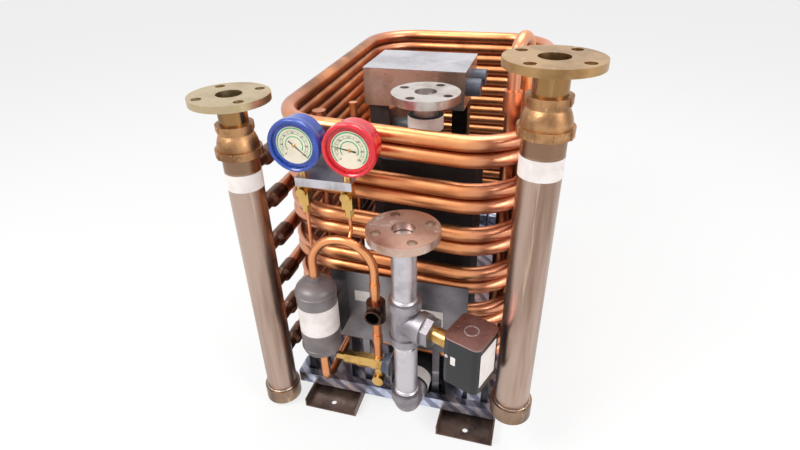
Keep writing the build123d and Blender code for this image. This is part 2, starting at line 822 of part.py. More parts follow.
# Service valve: stepped body along X, fed from above, with a short outlet below
with BuildPart() as service_valve:
    step_x = centre_x + valve_left_x
    for length, diameter in valve_steps:
        with BuildSketch(Plane((step_x, drier_cy, valve_axis_z), x_dir=(0, 1, 0), z_dir=(1, 0, 0))):
            RegularPolygon(diameter / 2, side_count=6, major_radius=False)
        extrude(amount=length)
        step_x += length
    with BuildSketch(Plane.XY.offset(valve_axis_z)):
        with Locations((drop_x, drier_cy)):
            Circle(valve_inlet_diameter / 2)
    extrude(amount=valve_inlet_height)
    outlet_end_z = valve_outlet_bottom_z + outlet_end_diameter / 2
    with BuildSketch(Plane.XY.offset(outlet_end_z)):
        with Locations((drop_x, drier_cy)):
            Circle(valve_outlet_diameter / 2)
    extrude(amount=valve_axis_z - outlet_end_z)
    outlet_back_y = drier_cy + outlet_end_diameter / 2
    with BuildSketch(Plane((drop_x, outlet_back_y, outlet_end_z), x_dir=(1, 0, 0), z_dir=(0, -1, 0))):
        Circle(outlet_end_diameter / 2)
    extrude(amount=outlet_end_reach + outlet_end_diameter / 2)
save(service_valve, "service_valve")
with BuildPart() as bulkhead_fitting:
    washer_start = centre_x + ear_x - bulkhead_washer_thickness
    with BuildSketch(Plane((step_x, drier_cy, valve_axis_z), x_dir=(0, 1, 0), z_dir=(1, 0, 0))):
        RegularPolygon(bulkhead_nut_across_flats / 2, side_count=6, major_radius=False)
    extrude(amount=washer_start - step_x)
    with BuildSketch(Plane((washer_start, drier_cy, valve_axis_z), x_dir=(0, 1, 0), z_dir=(1, 0, 0))):
        Circle(bulkhead_washer_diameter / 2)
    extrude(amount=bulkhead_washer_thickness)
save(bulkhead_fitting, "bulkhead_fitting")

# Gauge bracket: back plate, shelf, front lip and two clips on a front tube
shelf_left = centre_x + bracket_left
shelf_width = bracket_right - bracket_left
shelf_front = manifold_line_y + bracket_front_y
back_plate_y = manifold_line_y + bracket_back_y
clip_turn = (circuit_count - 1) * circuit_pitch
with BuildPart() as gauge_bracket:
    with BuildSketch(Plane((shelf_left, 0, 0), x_dir=(0, 1, 0), z_dir=(1, 0, 0))):
        with BuildLine():
            Polyline(
                (shelf_front, bracket_top_z - bracket_lip),
                (shelf_front, bracket_top_z),
                (back_plate_y, bracket_top_z),
                (back_plate_y, bracket_top_z + bracket_back_height),
                (back_plate_y + bracket_thickness, bracket_top_z + bracket_back_height),
                (back_plate_y + bracket_thickness, bracket_top_z - bracket_thickness),
                (shelf_front + bracket_thickness, bracket_top_z - bracket_thickness),
                (shelf_front + bracket_thickness, bracket_top_z - bracket_lip),
                close=True,
            )
        make_face()
    extrude(amount=shelf_width)
    for clip_x in (shelf_left + bracket_clip_width, shelf_left + shelf_width - bracket_clip_width):
        clip_z = front_tube_z(clip_x) + clip_turn
        clip_start_y = back_plate_y + bracket_thickness
        with BuildSketch(Plane((clip_x, clip_start_y, clip_z), x_dir=(1, 0, 0), z_dir=(0, 1, 0))):
            Rectangle(bracket_clip_width, bracket_clip_height)
        extrude(amount=coil_front_y - clip_start_y)
        with BuildSketch(Plane((clip_x, coil_front_y, clip_z), x_dir=(0, 1, 0), z_dir=(-1, 0, front_slope))):
            Circle(tube_diameter / 2 + seat_gap)
        extrude(amount=bracket_clip_width, both=True, mode=Mode.SUBTRACT)
save(gauge_bracket, "gauge_bracket")

# Gauges: case with a front ring, dial, glass, and a stem that passes down to a valve
gauge_y = manifold_line_y + gauge_front_y
gauge_places = (centre_x + low_gauge_x, centre_x + high_gauge_x)
valve_places = (centre_x + low_valve_x, centre_x + high_valve_x)
stem_y = manifold_line_y + gauge_stem_y
for gauge_x, name in zip(gauge_places, ("low_gauge_case", "high_gauge_case")):
    with BuildPart() as gauge_case:
        with BuildSketch(Plane((gauge_x, gauge_y, gauge_z), x_dir=(1, 0, 0), z_dir=(0, 1, 0))):
            Circle(gauge_diameter / 2)
        extrude(amount=gauge_ring_depth)
        with BuildSketch(Plane((gauge_x, gauge_y, gauge_z), x_dir=(1, 0, 0), z_dir=(0, 1, 0))):
            Circle(gauge_case_diameter / 2)
        extrude(amount=gauge_depth)
        with BuildSketch(Plane((gauge_x, gauge_y, gauge_z), x_dir=(1, 0, 0), z_dir=(0, 1, 0))):
            Circle(gauge_recess_diameter / 2 + seat_gap)
        extrude(amount=gauge_recess_depth, mode=Mode.SUBTRACT)
    save(gauge_case, name)
dial_depth = gauge_recess_depth - gauge_disc_thickness
for depth, name in ((dial_depth, "gauge_dials"), (gauge_disc_thickness, "gauge_glasses")):
    with BuildPart() as discs:
        for gauge_x in gauge_places:
            with BuildSketch(Plane((gauge_x, gauge_y + depth, gauge_z), x_dir=(1, 0, 0), z_dir=(0, 1, 0))):
                Circle(gauge_recess_diameter / 2)
            extrude(amount=gauge_disc_thickness)
    save(discs, name)
valve_top_z = bracket_top_z - bracket_thickness
valve_bottom_z = valve_top_z - gauge_valve_height
nut_bottom_z = valve_bottom_z - gauge_nut_height
with BuildPart() as gauge_valves:
    for gauge_x, valve_x in zip(gauge_places, valve_places):
        with BuildSketch(Plane.XY.offset(bracket_top_z)):
            with Locations((valve_x, stem_y)):
                Circle(gauge_stem_diameter / 2)
        extrude(amount=gauge_z - bracket_top_z)
        with BuildSketch(Plane((gauge_x, gauge_y, gauge_z), x_dir=(1, 0, 0), z_dir=(0, 1, 0))):
            Circle(gauge_case_diameter / 2 + seat_gap)
        extrude(amount=gauge_depth + gauge_stem_diameter, mode=Mode.SUBTRACT)
    for valve_x in valve_places:
        with BuildSketch(Plane.XY.offset(valve_bottom_z)):
            with Locations((valve_x, stem_y)):
                Rectangle(gauge_valve_width, gauge_valve_width)
        extrude(amount=gauge_valve_height)
        with BuildSketch(Plane.XY.offset(nut_bottom_z)):
            with Locations((valve_x, stem_y)):
                RegularPolygon(gauge_nut_diameter / 2, side_count=6, major_radius=False)
        extrude(amount=gauge_nut_height)
        knob_z = (valve_top_z + valve_bottom_z) / 2
        knob_y = stem_y - gauge_valve_width / 2
        with BuildSketch(Plane((valve_x, knob_y, knob_z), x_dir=(1, 0, 0), z_dir=(0, -1, 0))):
            Circle(gauge_valve_knob_diameter / 2)
        extrude(amount=gauge_valve_knob_length)
save(gauge_valves, "gauge_valves")
capillary_ends = (low_capillary_end, high_capillary_end)
capillary_bends = (low_capillary_bend_z, high_capillary_bend_z)
with BuildPart() as gauge_capillaries:
    for valve_x, bend_z, capillary_end in zip(valve_places, capillary_bends, capillary_ends):
        with BuildLine() as route:
            FilletPolyline(
                (valve_x, stem_y, nut_bottom_z),
                (valve_x, stem_y, bend_z),
                (centre_x + capillary_end[0], manifold_line_y + capillary_end[1], capillary_end[2]),
                radius=capillary_bend_radius,
            )
        with BuildSketch(Plane((valve_x, stem_y, nut_bottom_z), x_dir=(1, 0, 0), z_dir=(0, 0, -1))):
            Circle(capillary_diameter / 2)
        sweep(path=route.line)
    with BuildSketch(Plane.XY.offset(liquid_bend_z)):
        with Locations((drier_cx, drier_cy)):
            Circle(liquid_tube_diameter / 2 + seat_gap)
    revolve(
        axis=Axis((drier_cx + arch_radius, drier_cy, liquid_bend_z), (0, 1, 0)),
        revolution_arc=180,
        mode=Mode.SUBTRACT,
    )
    with BuildSketch(Plane.XY.offset(drier_top_z)):
        with Locations((drier_cx, drier_cy)):
            Circle(liquid_tube_diameter / 2 + seat_gap)
    extrude(amount=liquid_bend_z - drier_top_z, mode=Mode.SUBTRACT)
save(gauge_capillaries, "gauge_capillaries")

# Junction box on two angle posts
box_cx = centre_x + box_left + box_width / 2
box_cy = manifold_line_y + box_front_y + box_length / 2
lid_bottom_z = box_top_z - lid_thickness
with BuildPart() as junction_box:
    with BuildSketch(Plane.XY.offset(box_bottom_z)):
        with Locations((box_cx, box_cy)):
            Rectangle(box_width, box_length)
    extrude(amount=lid_bottom_z - box_bottom_z)
    offset(amount=-box_wall, openings=junction_box.faces().sort_by(Axis.Z)[-1])
save(junction_box, "junction_box")
with BuildPart() as junction_box_lid:
    with BuildSketch(Plane.XY.offset(lid_bottom_z)):
        with Locations((box_cx, box_cy)):
            Rectangle(box_width + lid_overlap, box_length + lid_overlap)
    extrude(amount=lid_thickness)
save(junction_box_lid, "junction_box_lid")
with BuildPart() as box_posts:
    for side_x, side_y in ((-1, -1), (1, 1)):
        corner_x = box_cx + side_x * (box_width / 2 - post_inset)
        corner_y = box_cy + side_y * (box_length / 2 - post_inset)
        with BuildSketch(Plane.XY.offset(tray_floor_z)):
            with Locations((corner_x - side_x * post_leg / 2, corner_y - side_y * post_thickness / 2)):
                Rectangle(post_leg, post_thickness)
            with Locations((corner_x - side_x * post_thickness / 2, corner_y - side_y * post_leg / 2)):
                Rectangle(post_thickness, post_leg)
        extrude(amount=box_bottom_z - tray_floor_z)
save(box_posts, "box_posts")
with BuildPart() as conduit_fittings:
    for place in (-1, 1):
        fitting_y = box_cy + place * box_length / 4
        fitting_z = (box_bottom_z + lid_bottom_z) / 2
        with BuildSketch(Plane((box_cx + box_width / 2, fitting_y, fitting_z), x_dir=(0, 1, 0), z_dir=(1, 0, 0))):
            Circle(connector_body_diameter / 2)
        extrude(amount=connector_body_length)
save(conduit_fittings, "conduit_fittings")

# Compressor and evaporator
with BuildPart() as compressor:
    with BuildSketch(Plane.XY.offset(tray_floor_z)):
        with Locations((compressor_cx, compressor_cy)):
            Circle(compressor_diameter / 2)
    extrude(amount=compressor_height)
    fillet(compressor.faces().sort_by(Axis.Z)[-1].edges(), radius=compressor_dome)
save(compressor, "compressor")
with BuildPart() as evaporator:
    with BuildSketch(Plane.XY.offset(tray_floor_z)):
        with Locations(
            (centre_x + evaporator_left + evaporator_width / 2, evaporator_front + evaporator_depth / 2)
        ):
            RectangleRounded(evaporator_width, evaporator_depth, evaporator_edge)
    extrude(amount=evaporator_top_z - tray_floor_z)
save(evaporator, "evaporator")

# Refrigerant risers: a pipe with a coupling that turns over into a second pipe, and two stubs
first_leg = Vector(centre_x + riser_x, manifold_line_y + riser_y, 0)
second_leg = first_leg + Vector(riser_step_x, riser_step_y, 0)
riser_span = second_leg - first_leg
turn_middle = (first_leg + second_leg) / 2 + Vector(0, 0, riser_bend_z)
turn_axis = Axis(turn_middle, riser_span.cross(Vector(0, 0, 1)) * -1)
with BuildPart() as refrigerant_risers:
    for leg in (first_leg, second_leg):
        with BuildSketch(Plane.XY.offset(tray_floor_z)):
            with Locations((leg.X, leg.Y)):
                Circle(riser_diameter / 2)
        extrude(amount=riser_bend_z - tray_floor_z)
    with BuildSketch(Plane.XY.offset(riser_bend_z)):
        with Locations((first_leg.X, first_leg.Y)):
            Circle(riser_diameter / 2)
    revolve(axis=turn_axis, revolution_arc=180)
    with BuildSketch(Plane.XY.offset(riser_coupling_bottom_z)):
        with Locations((first_leg.X, first_leg.Y)):
            Circle(riser_coupling_diameter / 2)
    extrude(amount=riser_coupling_top_z - riser_coupling_bottom_z)
save(refrigerant_risers, "refrigerant_risers")


with BuildPart() as capped_risers:
    for x, top_z, tube, cap, cap_rise in (
        (stub_x, stub_top_z, riser_diameter, stub_cap_diameter, stub_cap_height),
        (port_x, port_top_z, port_tube_diameter, port_boot_diameter, port_boot_height),
    ):
        for diameter, bottom_z in ((tube, tray_floor_z), (cap, top_z - cap_rise)):
            with BuildSketch(Plane.XY.offset(bottom_z)):
                with Locations((centre_x + x, manifold_line_y + stub_y)):
                    Circle(diameter / 2)
            extrude(amount=top_z - bottom_z)
save(capped_risers, "capped_risers")
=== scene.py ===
import json
import math
import random

import bmesh
import bpy
from mathutils import Matrix, Vector


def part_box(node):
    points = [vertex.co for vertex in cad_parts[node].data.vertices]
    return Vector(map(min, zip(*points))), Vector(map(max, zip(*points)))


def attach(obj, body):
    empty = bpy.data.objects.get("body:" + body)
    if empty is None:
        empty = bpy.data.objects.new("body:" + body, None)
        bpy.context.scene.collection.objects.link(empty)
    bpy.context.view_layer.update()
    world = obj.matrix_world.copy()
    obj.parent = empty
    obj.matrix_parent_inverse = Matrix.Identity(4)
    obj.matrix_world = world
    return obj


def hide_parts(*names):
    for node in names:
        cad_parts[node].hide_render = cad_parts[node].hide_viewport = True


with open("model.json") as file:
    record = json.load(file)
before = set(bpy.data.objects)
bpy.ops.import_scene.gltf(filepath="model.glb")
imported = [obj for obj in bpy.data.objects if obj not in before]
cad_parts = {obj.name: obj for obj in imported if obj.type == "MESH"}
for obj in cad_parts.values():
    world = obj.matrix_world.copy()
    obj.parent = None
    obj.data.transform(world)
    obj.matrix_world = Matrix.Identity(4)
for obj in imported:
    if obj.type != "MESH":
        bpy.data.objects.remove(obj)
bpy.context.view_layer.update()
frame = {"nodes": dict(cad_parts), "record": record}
nodes_by_name = frame["nodes"]
MM = 0.001


# ---- Camera, lights, floor and background
camera_place = Vector((217.6, -1114.8, 896.1)) * MM
camera_yaw = math.radians(16.19)
camera_pitch = math.radians(30.813)
camera_roll = math.radians(-1.342)
camera_lens = 23.73


def add_camera():
    data = bpy.data.cameras.new("camera")
    data.lens = camera_lens
    data.sensor_width = 36.0
    data.clip_start = 0.05
    camera = bpy.data.objects.new("camera", data)
    turn = Matrix.Rotation(camera_yaw, 4, "Z") @ Matrix.Rotation(math.pi / 2 - camera_pitch, 4, "X")
    camera.matrix_world = Matrix.Translation(camera_place) @ turn @ Matrix.Rotation(camera_roll, 4, "Z")
    bpy.context.scene.collection.objects.link(camera)
    bpy.context.scene.camera = camera


def srgb(red, green, blue, alpha=1.0):
    """A colour given as it looks on a screen, 0 to 255, in the linear numbers that shaders take."""
    channels = []
    for value in (red, green, blue):
        part = value / 255
        channels.append(part / 12.92 if part <= 0.04045 else ((part + 0.055) / 1.055) ** 2.4)
    return (*channels, alpha)


def add_area_light(name, place, target, size, power):
    data = bpy.data.lights.new(name, "AREA")
    data.shape = "RECTANGLE"
    data.size, data.size_y = size
    data.energy = power
    light = bpy.data.objects.new(name, data)
    light.location = place
    aim = Vector(target) - Vector(place)
    light.rotation_euler = aim.to_track_quat("-Z", "Y").to_euler()
    bpy.context.scene.collection.objects.link(light)


def seen_directly(tree):
    """1 for rays from the camera, from gloss and through glass, and 0 for the rest."""
    path = tree.nodes.new("ShaderNodeLightPath")
    first = tree.nodes.new("ShaderNodeMath")
    first.operation = "MAXIMUM"
    tree.links.new(path.outputs["Is Camera Ray"], first.inputs[0])
    tree.links.new(path.outputs["Is Glossy Ray"], first.inputs[1])
    second = tree.nodes.new("ShaderNodeMath")
    second.operation = "MAXIMUM"
    tree.links.new(first.outputs[0], second.inputs[0])
    tree.links.new(path.outputs["Is Transmission Ray"], second.inputs[1])
    return second.outputs[0]


def add_background():
    world = bpy.data.worlds.new("studio")
    bpy.context.scene.world = world
    world.use_nodes = True
    tree = world.node_tree
    light = tree.nodes["Background"]
    light.inputs["Color"].default_value = (1.0, 0.99, 0.97, 1.0)
    light.inputs["Strength"].default_value = 0.42
    white = tree.nodes.new("ShaderNodeBackground")
    white.inputs["Color"].default_value = (1.0, 1.0, 1.0, 1.0)
    white.inputs["Strength"].default_value = 1.0
    mix = tree.nodes.new("ShaderNodeMixShader")
    tree.links.new(seen_directly(tree), mix.inputs["Fac"])
    tree.links.new(light.outputs[0], mix.inputs[1])
    tree.links.new(white.outputs[0], mix.inputs[2])
    tree.links.new(mix.outputs[0], tree.nodes["World Output"].inputs["Surface"])


def add_floor():
    size = 60.0
    mesh = bpy.data.meshes.new("floor")
    corners = [(-size, -size, 0), (size, -size, 0), (size, size, 0), (-size, size, 0)]
    mesh.from_pydata([Vector(c) - Vector((0, 0, 0.0005)) for c in corners], [], [(0, 1, 2, 3)])
    floor = bpy.data.objects.new("floor", mesh)
    bpy.context.scene.collection.objects.link(floor)
    material = bpy.data.materials.new("pale_floor")
    material.use_nodes = True
    tree = material.node_tree
    shader = tree.nodes["Principled BSDF"]
    shader.inputs["Base Color"].default_value = (0.9, 0.9, 0.9, 1.0)
    shader.inputs["Roughness"].default_value = 0.85
    shader.inputs["Specular IOR Level"].default_value = 0.1
    glow = tree.nodes.new("ShaderNodeEmission")
    glow.inputs["Strength"].default_value = 1.0
    share = tree.nodes.new("ShaderNodeMath")
    share.operation = "MULTIPLY"
    share.inputs[1].default_value = 0.76
    tree.links.new(seen_directly(tree), share.inputs[0])
    mix = tree.nodes.new("ShaderNodeMixShader")
    tree.links.new(share.outputs[0], mix.inputs["Fac"])
    tree.links.new(shader.outputs[0], mix.inputs[1])
    tree.links.new(glow.outputs[0], mix.inputs[2])
    tree.links.new(mix.outputs[0], tree.nodes["Material Output"].inputs["Surface"])
    mesh.materials.append(material)


add_camera()
add_background()
add_floor()
bpy.context.scene.view_settings.view_transform = "Standard"
add_area_light("key_light", (-1.3, -1.6, 2.3), (0, -0.1, 0.35), (1.3, 1.0), 46)
add_area_light("fill_light", (1.9, -1.2, 1.3), (0, 0, 0.3), (1.0, 1.4), 20)
add_area_light("top_light", (0.2, 0.3, 2.6), (0, 0, 0.4), (1.6, 1.6), 30)


# ---- Shader groups for effects that several materials share
def make_group(name, inputs, outputs):
    tree = bpy.data.node_groups.new(name, "ShaderNodeTree")
    kinds = {"colour": "NodeSocketColor", "value": "NodeSocketFloat", "vector": "NodeSocketVector"}
    for socket_name, kind in inputs:
        tree.interface.new_socket(socket_name, in_out="INPUT", socket_type=kinds[kind])
    for socket_name, kind in outputs:
        tree.interface.new_socket(socket_name, in_out="OUTPUT", socket_type=kinds[kind])
    return tree, tree.nodes.new("NodeGroupInput"), tree.nodes.new("NodeGroupOutput")


def math_node(tree, operation, first, second=None, third=None):
    node = tree.nodes.new("ShaderNodeMath")
    node.operation = operation
    for index, value in enumerate((first, second, third)):
        if value is None:
            continue
        if isinstance(value, (int, float)):
            node.inputs[index].default_value = value
        else:
            tree.links.new(value, node.inputs[index])
    return node.outputs[0]


def spread_node(tree, value, low, high, steep=True):
    """Turns a value into 0 below low and 1 above high."""
    node = tree.nodes.new("ShaderNodeMapRange")
    node.interpolation_type = "SMOOTHSTEP" if steep else "LINEAR"
    tree.links.new(value, node.inputs["Value"])
    for socket, bound in (("From Min", low), ("From Max", high)):
        if isinstance(bound, (int, float)):
            node.inputs[socket].default_value = bound
        else:
            tree.links.new(bound, node.inputs[socket])
    return node.outputs["Result"]


def mix_node(tree, share, first, second):
    node = tree.nodes.new("ShaderNodeMix")
    node.data_type = "RGBA"
    for socket, value in ((node.inputs[0], share), (node.inputs[6], first), (node.inputs[7], second)):
        if isinstance(value, (int, float, tuple)):
            socket.default_value = value
        else:
            tree.links.new(value, socket)
    return node.outputs[2]


def noise_node(tree, vector, scale, detail=3.0, rough=0.55):
    node = tree.nodes.new("ShaderNodeTexNoise")
    node.inputs["Detail"].default_value = detail
    node.inputs["Roughness"].default_value = rough
    tree.links.new(vector, node.inputs["Vector"])
    if isinstance(scale, (int, float)):
        node.inputs["Scale"].default_value = scale
    else:
        tree.links.new(scale, node.inputs["Scale"])
    return node.outputs["Fac"]


def build_stain_group():
    """Cloudy patches of a second colour over a first, with the mask of the patches."""
    tree, given, result = make_group(
        "stained_surface",
        (("Base", "colour"), ("Stain", "colour"), ("Scale", "value"), ("Low", "value"), ("High", "value"), ("Stretch", "vector")),
        (("Color", "colour"), ("Mask", "value")),
    )
    place = tree.nodes.new("ShaderNodeTexCoord").outputs["Object"]
    stretch = tree.nodes.new("ShaderNodeVectorMath")
    stretch.operation = "MULTIPLY"
    tree.links.new(place, stretch.inputs[0])
    tree.links.new(given.outputs["Stretch"], stretch.inputs[1])
    cloud = noise_node(tree, stretch.outputs[0], given.outputs["Scale"], 4.0, 0.6)
    mask = spread_node(tree, cloud, given.outputs["Low"], given.outputs["High"])
    colour = mix_node(tree, mask, given.outputs["Base"], given.outputs["Stain"])
    tree.links.new(colour, result.inputs["Color"])
    tree.links.new(mask, result.inputs["Mask"])
    return tree


def build_grain_group():
    """Fine grain for bump and roughness; stretched it gives brushed or drawn lines."""
    tree, given, result = make_group(
        "fine_grain",
        (("Scale", "value"), ("Stretch", "vector"), ("Smooth", "value"), ("Rough", "value")),
        (("Height", "value"), ("Roughness", "value")),
    )
    place = tree.nodes.new("ShaderNodeTexCoord").outputs["Object"]
    stretch = tree.nodes.new("ShaderNodeVectorMath")
    stretch.operation = "MULTIPLY"
    tree.links.new(place, stretch.inputs[0])
    tree.links.new(given.outputs["Stretch"], stretch.inputs[1])
    grain = noise_node(tree, stretch.outputs[0], given.outputs["Scale"], 5.0, 0.65)
    span = math_node(tree, "SUBTRACT", given.outputs["Rough"], given.outputs["Smooth"])
    steep = spread_node(tree, grain, 0.3, 0.7, steep=False)
    rough = math_node(tree, "MULTIPLY_ADD", steep, span, given.outputs["Smooth"])
    tree.links.new(grain, result.inputs["Height"])
    tree.links.new(rough, result.inputs["Roughness"])
    return tree


def build_rings_group():
    """Turning marks: fine rings about an upright axis through Centre, on faces that look up."""
    tree, given, result = make_group(
        "turning_rings",
        (("Centre", "vector"), ("Rings per metre", "value")),
        (("Height", "value"), ("Mask", "value")),
    )
    place = tree.nodes.new("ShaderNodeTexCoord").outputs["Object"]
    offset = tree.nodes.new("ShaderNodeVectorMath")
    offset.operation = "SUBTRACT"
    tree.links.new(place, offset.inputs[0])
    tree.links.new(given.outputs["Centre"], offset.inputs[1])
    flat = tree.nodes.new("ShaderNodeVectorMath")
    flat.operation = "MULTIPLY"
    flat.inputs[1].default_value = (1.0, 1.0, 0.0)
    tree.links.new(offset.outputs[0], flat.inputs[0])
    length = tree.nodes.new("ShaderNodeVectorMath")
    length.operation = "LENGTH"
    tree.links.new(flat.outputs[0], length.inputs[0])
    turns = math_node(tree, "MULTIPLY", length.outputs["Value"], given.outputs["Rings per metre"])
    wobble = noise_node(tree, offset.outputs[0], 30.0)
    phase = math_node(tree, "MULTIPLY_ADD", wobble, 1.2, turns)
    wave = math_node(tree, "SINE", math_node(tree, "MULTIPLY", phase, 2 * math.pi))
    height = math_node(tree, "MULTIPLY_ADD", wave, 0.5, 0.5)
    up = tree.nodes.new("ShaderNodeNewGeometry").outputs["Normal"]
    split = tree.nodes.new("ShaderNodeSeparateXYZ")
    tree.links.new(up, split.inputs[0])
    face = spread_node(tree, split.outputs["Z"], 0.8, 0.95)
    tree.links.new(math_node(tree, "MULTIPLY", height, face), result.inputs["Height"])
    tree.links.new(face, result.inputs["Mask"])
    return tree


stain_group = build_stain_group()
grain_group = build_grain_group()
rings_group = build_rings_group()


def group_node(tree, group, **values):
    node = tree.nodes.new("ShaderNodeGroup")
    node.node_tree = group
    for name, value in values.items():
        socket = node.inputs[name.replace("_", " ")]
        if isinstance(value, bpy.types.NodeSocket):
            tree.links.new(value, socket)
        else:
            socket.default_value = value
    return node


def bump_node(tree, height, strength, distance, normal=None):
    node = tree.nodes.new("ShaderNodeBump")
    node.inputs["Strength"].default_value = strength
    node.inputs["Distance"].default_value = distance
    tree.links.new(height, node.inputs["Height"])
    if normal is not None:
        tree.links.new(normal, node.inputs["Normal"])
    return node.outputs["Normal"]


EVEN = (1.0, 1.0, 1.0)


def finish_material(
    name,
    base,
    stain,
    cover=(0.45, 0.7),
    patch=9.0,
    stretch=EVEN,
    streak=None,
    streak_cover=(0.55, 0.75),
    streak_scale=60.0,
    streak_stretch=EVEN,
    rough=(0.3, 0.45),
    grain_scale=300.0,
    grain_stretch=EVEN,
    bump=0.15,
    depth=0.0004,
    metallic=1.0,
    coat=0.0,
):
    """A stained, grained finish: base colour with patches, finer streaks, and grain in roughness and bump."""
    material = bpy.data.materials.new(name)
    material.use_nodes = True
    tree = material.node_tree
    shader = tree.nodes["Principled BSDF"]
    patches = group_node(tree, stain_group, Base=base, Stain=stain, Scale=patch, Low=cover[0], High=cover[1], Stretch=stretch)
    colour = patches.outputs["Color"]
    if streak is not None:
        streaks = group_node(
            tree,
            stain_group,
            Base=colour,
            Stain=streak,
            Scale=streak_scale,
            Low=streak_cover[0],
            High=streak_cover[1],
            Stretch=streak_stretch,
        )
        colour = streaks.outputs["Color"]
    grain = group_node(tree, grain_group, Scale=grain_scale, Stretch=grain_stretch, Smooth=rough[0], Rough=rough[1])
    tree.links.new(colour, shader.inputs["Base Color"])
    tree.links.new(grain.outputs["Roughness"], shader.inputs["Roughness"])
    tree.links.new(bump_node(tree, grain.outputs["Height"], bump, depth), shader.inputs["Normal"])
    shader.inputs["Metallic"].default_value = metallic
    shader.inputs["Coat Weight"].default_value = coat
    return material


def colour_link(material):
    """The node tree, the shader and the socket that now feeds its colour."""
    tree = material.node_tree
    shader = tree.nodes["Principled BSDF"]
    return tree, shader, shader.inputs["Base Color"].links[0].from_socket


def add_band(material, axis, low, high, colour, blur=0.003):
    """Paints a band between two heights along one axis."""
    tree, shader, old = colour_link(material)
    split = tree.nodes.new("ShaderNodeSeparateXYZ")
    tree.links.new(tree.nodes.new("ShaderNodeTexCoord").outputs["Object"], split.inputs[0])
    value = split.outputs[axis]
    rise = spread_node(tree, value, low - blur, low + blur)
    fall = spread_node(tree, value, high - blur, high + blur)
    mask = math_node(tree, "SUBTRACT", rise, fall)
    tree.links.new(mix_node(tree, mask, old, colour), shader.inputs["Base Color"])
    return mask


def add_turning(material, centre, rings=420.0, strength=0.25):
    """Adds turning marks to the top face."""
    tree, shader, _ = colour_link(material)
    rings_node = group_node(tree, rings_group, Centre=centre, **{"Rings_per_metre": rings})
    old = shader.inputs["Normal"].links[0].from_socket
    tree.links.new(bump_node(tree, rings_node.outputs["Height"], strength, 0.0004, old), shader.inputs["Normal"])
    return rings_node.outputs["Mask"]


def add_underside(material, colour, share, high=0.15, low=-0.75):
    """Painted shade: darkens the colour of the faces that look down, standing in for the shade and dark reflections
    under the tubes.
    """
    tree, shader, old = colour_link(material)
    split = tree.nodes.new("ShaderNodeSeparateXYZ")
    tree.links.new(tree.nodes.new("ShaderNodeNewGeometry").outputs["Normal"], split.inputs[0])
    mask = math_node(tree, "MULTIPLY", spread_node(tree, split.outputs["Z"], high, low), share)
    tree.links.new(mix_node(tree, mask, old, colour), shader.inputs["Base Color"])


def add_swirls(material, colour, share, scale=16.0):
    """Slanted cloudy strokes, as a sander or a cloth leaves on sheet steel."""
    tree, shader, old = colour_link(material)
    wave = tree.nodes.new("ShaderNodeTexWave")
    wave.bands_direction = "DIAGONAL"
    wave.inputs["Scale"].default_value = scale
    wave.inputs["Distortion"].default_value = 5.0
    wave.inputs["Detail"].default_value = 3.0
    wave.inputs["Detail Scale"].default_value = 0.7
    tree.links.new(tree.nodes.new("ShaderNodeTexCoord").outputs["Object"], wave.inputs["Vector"])
    mask = math_node(tree, "MULTIPLY", spread_node(tree, wave.outputs["Fac"], 0.35, 0.8), share)
    tree.links.new(mix_node(tree, mask, old, colour), shader.inputs["Base Color"])


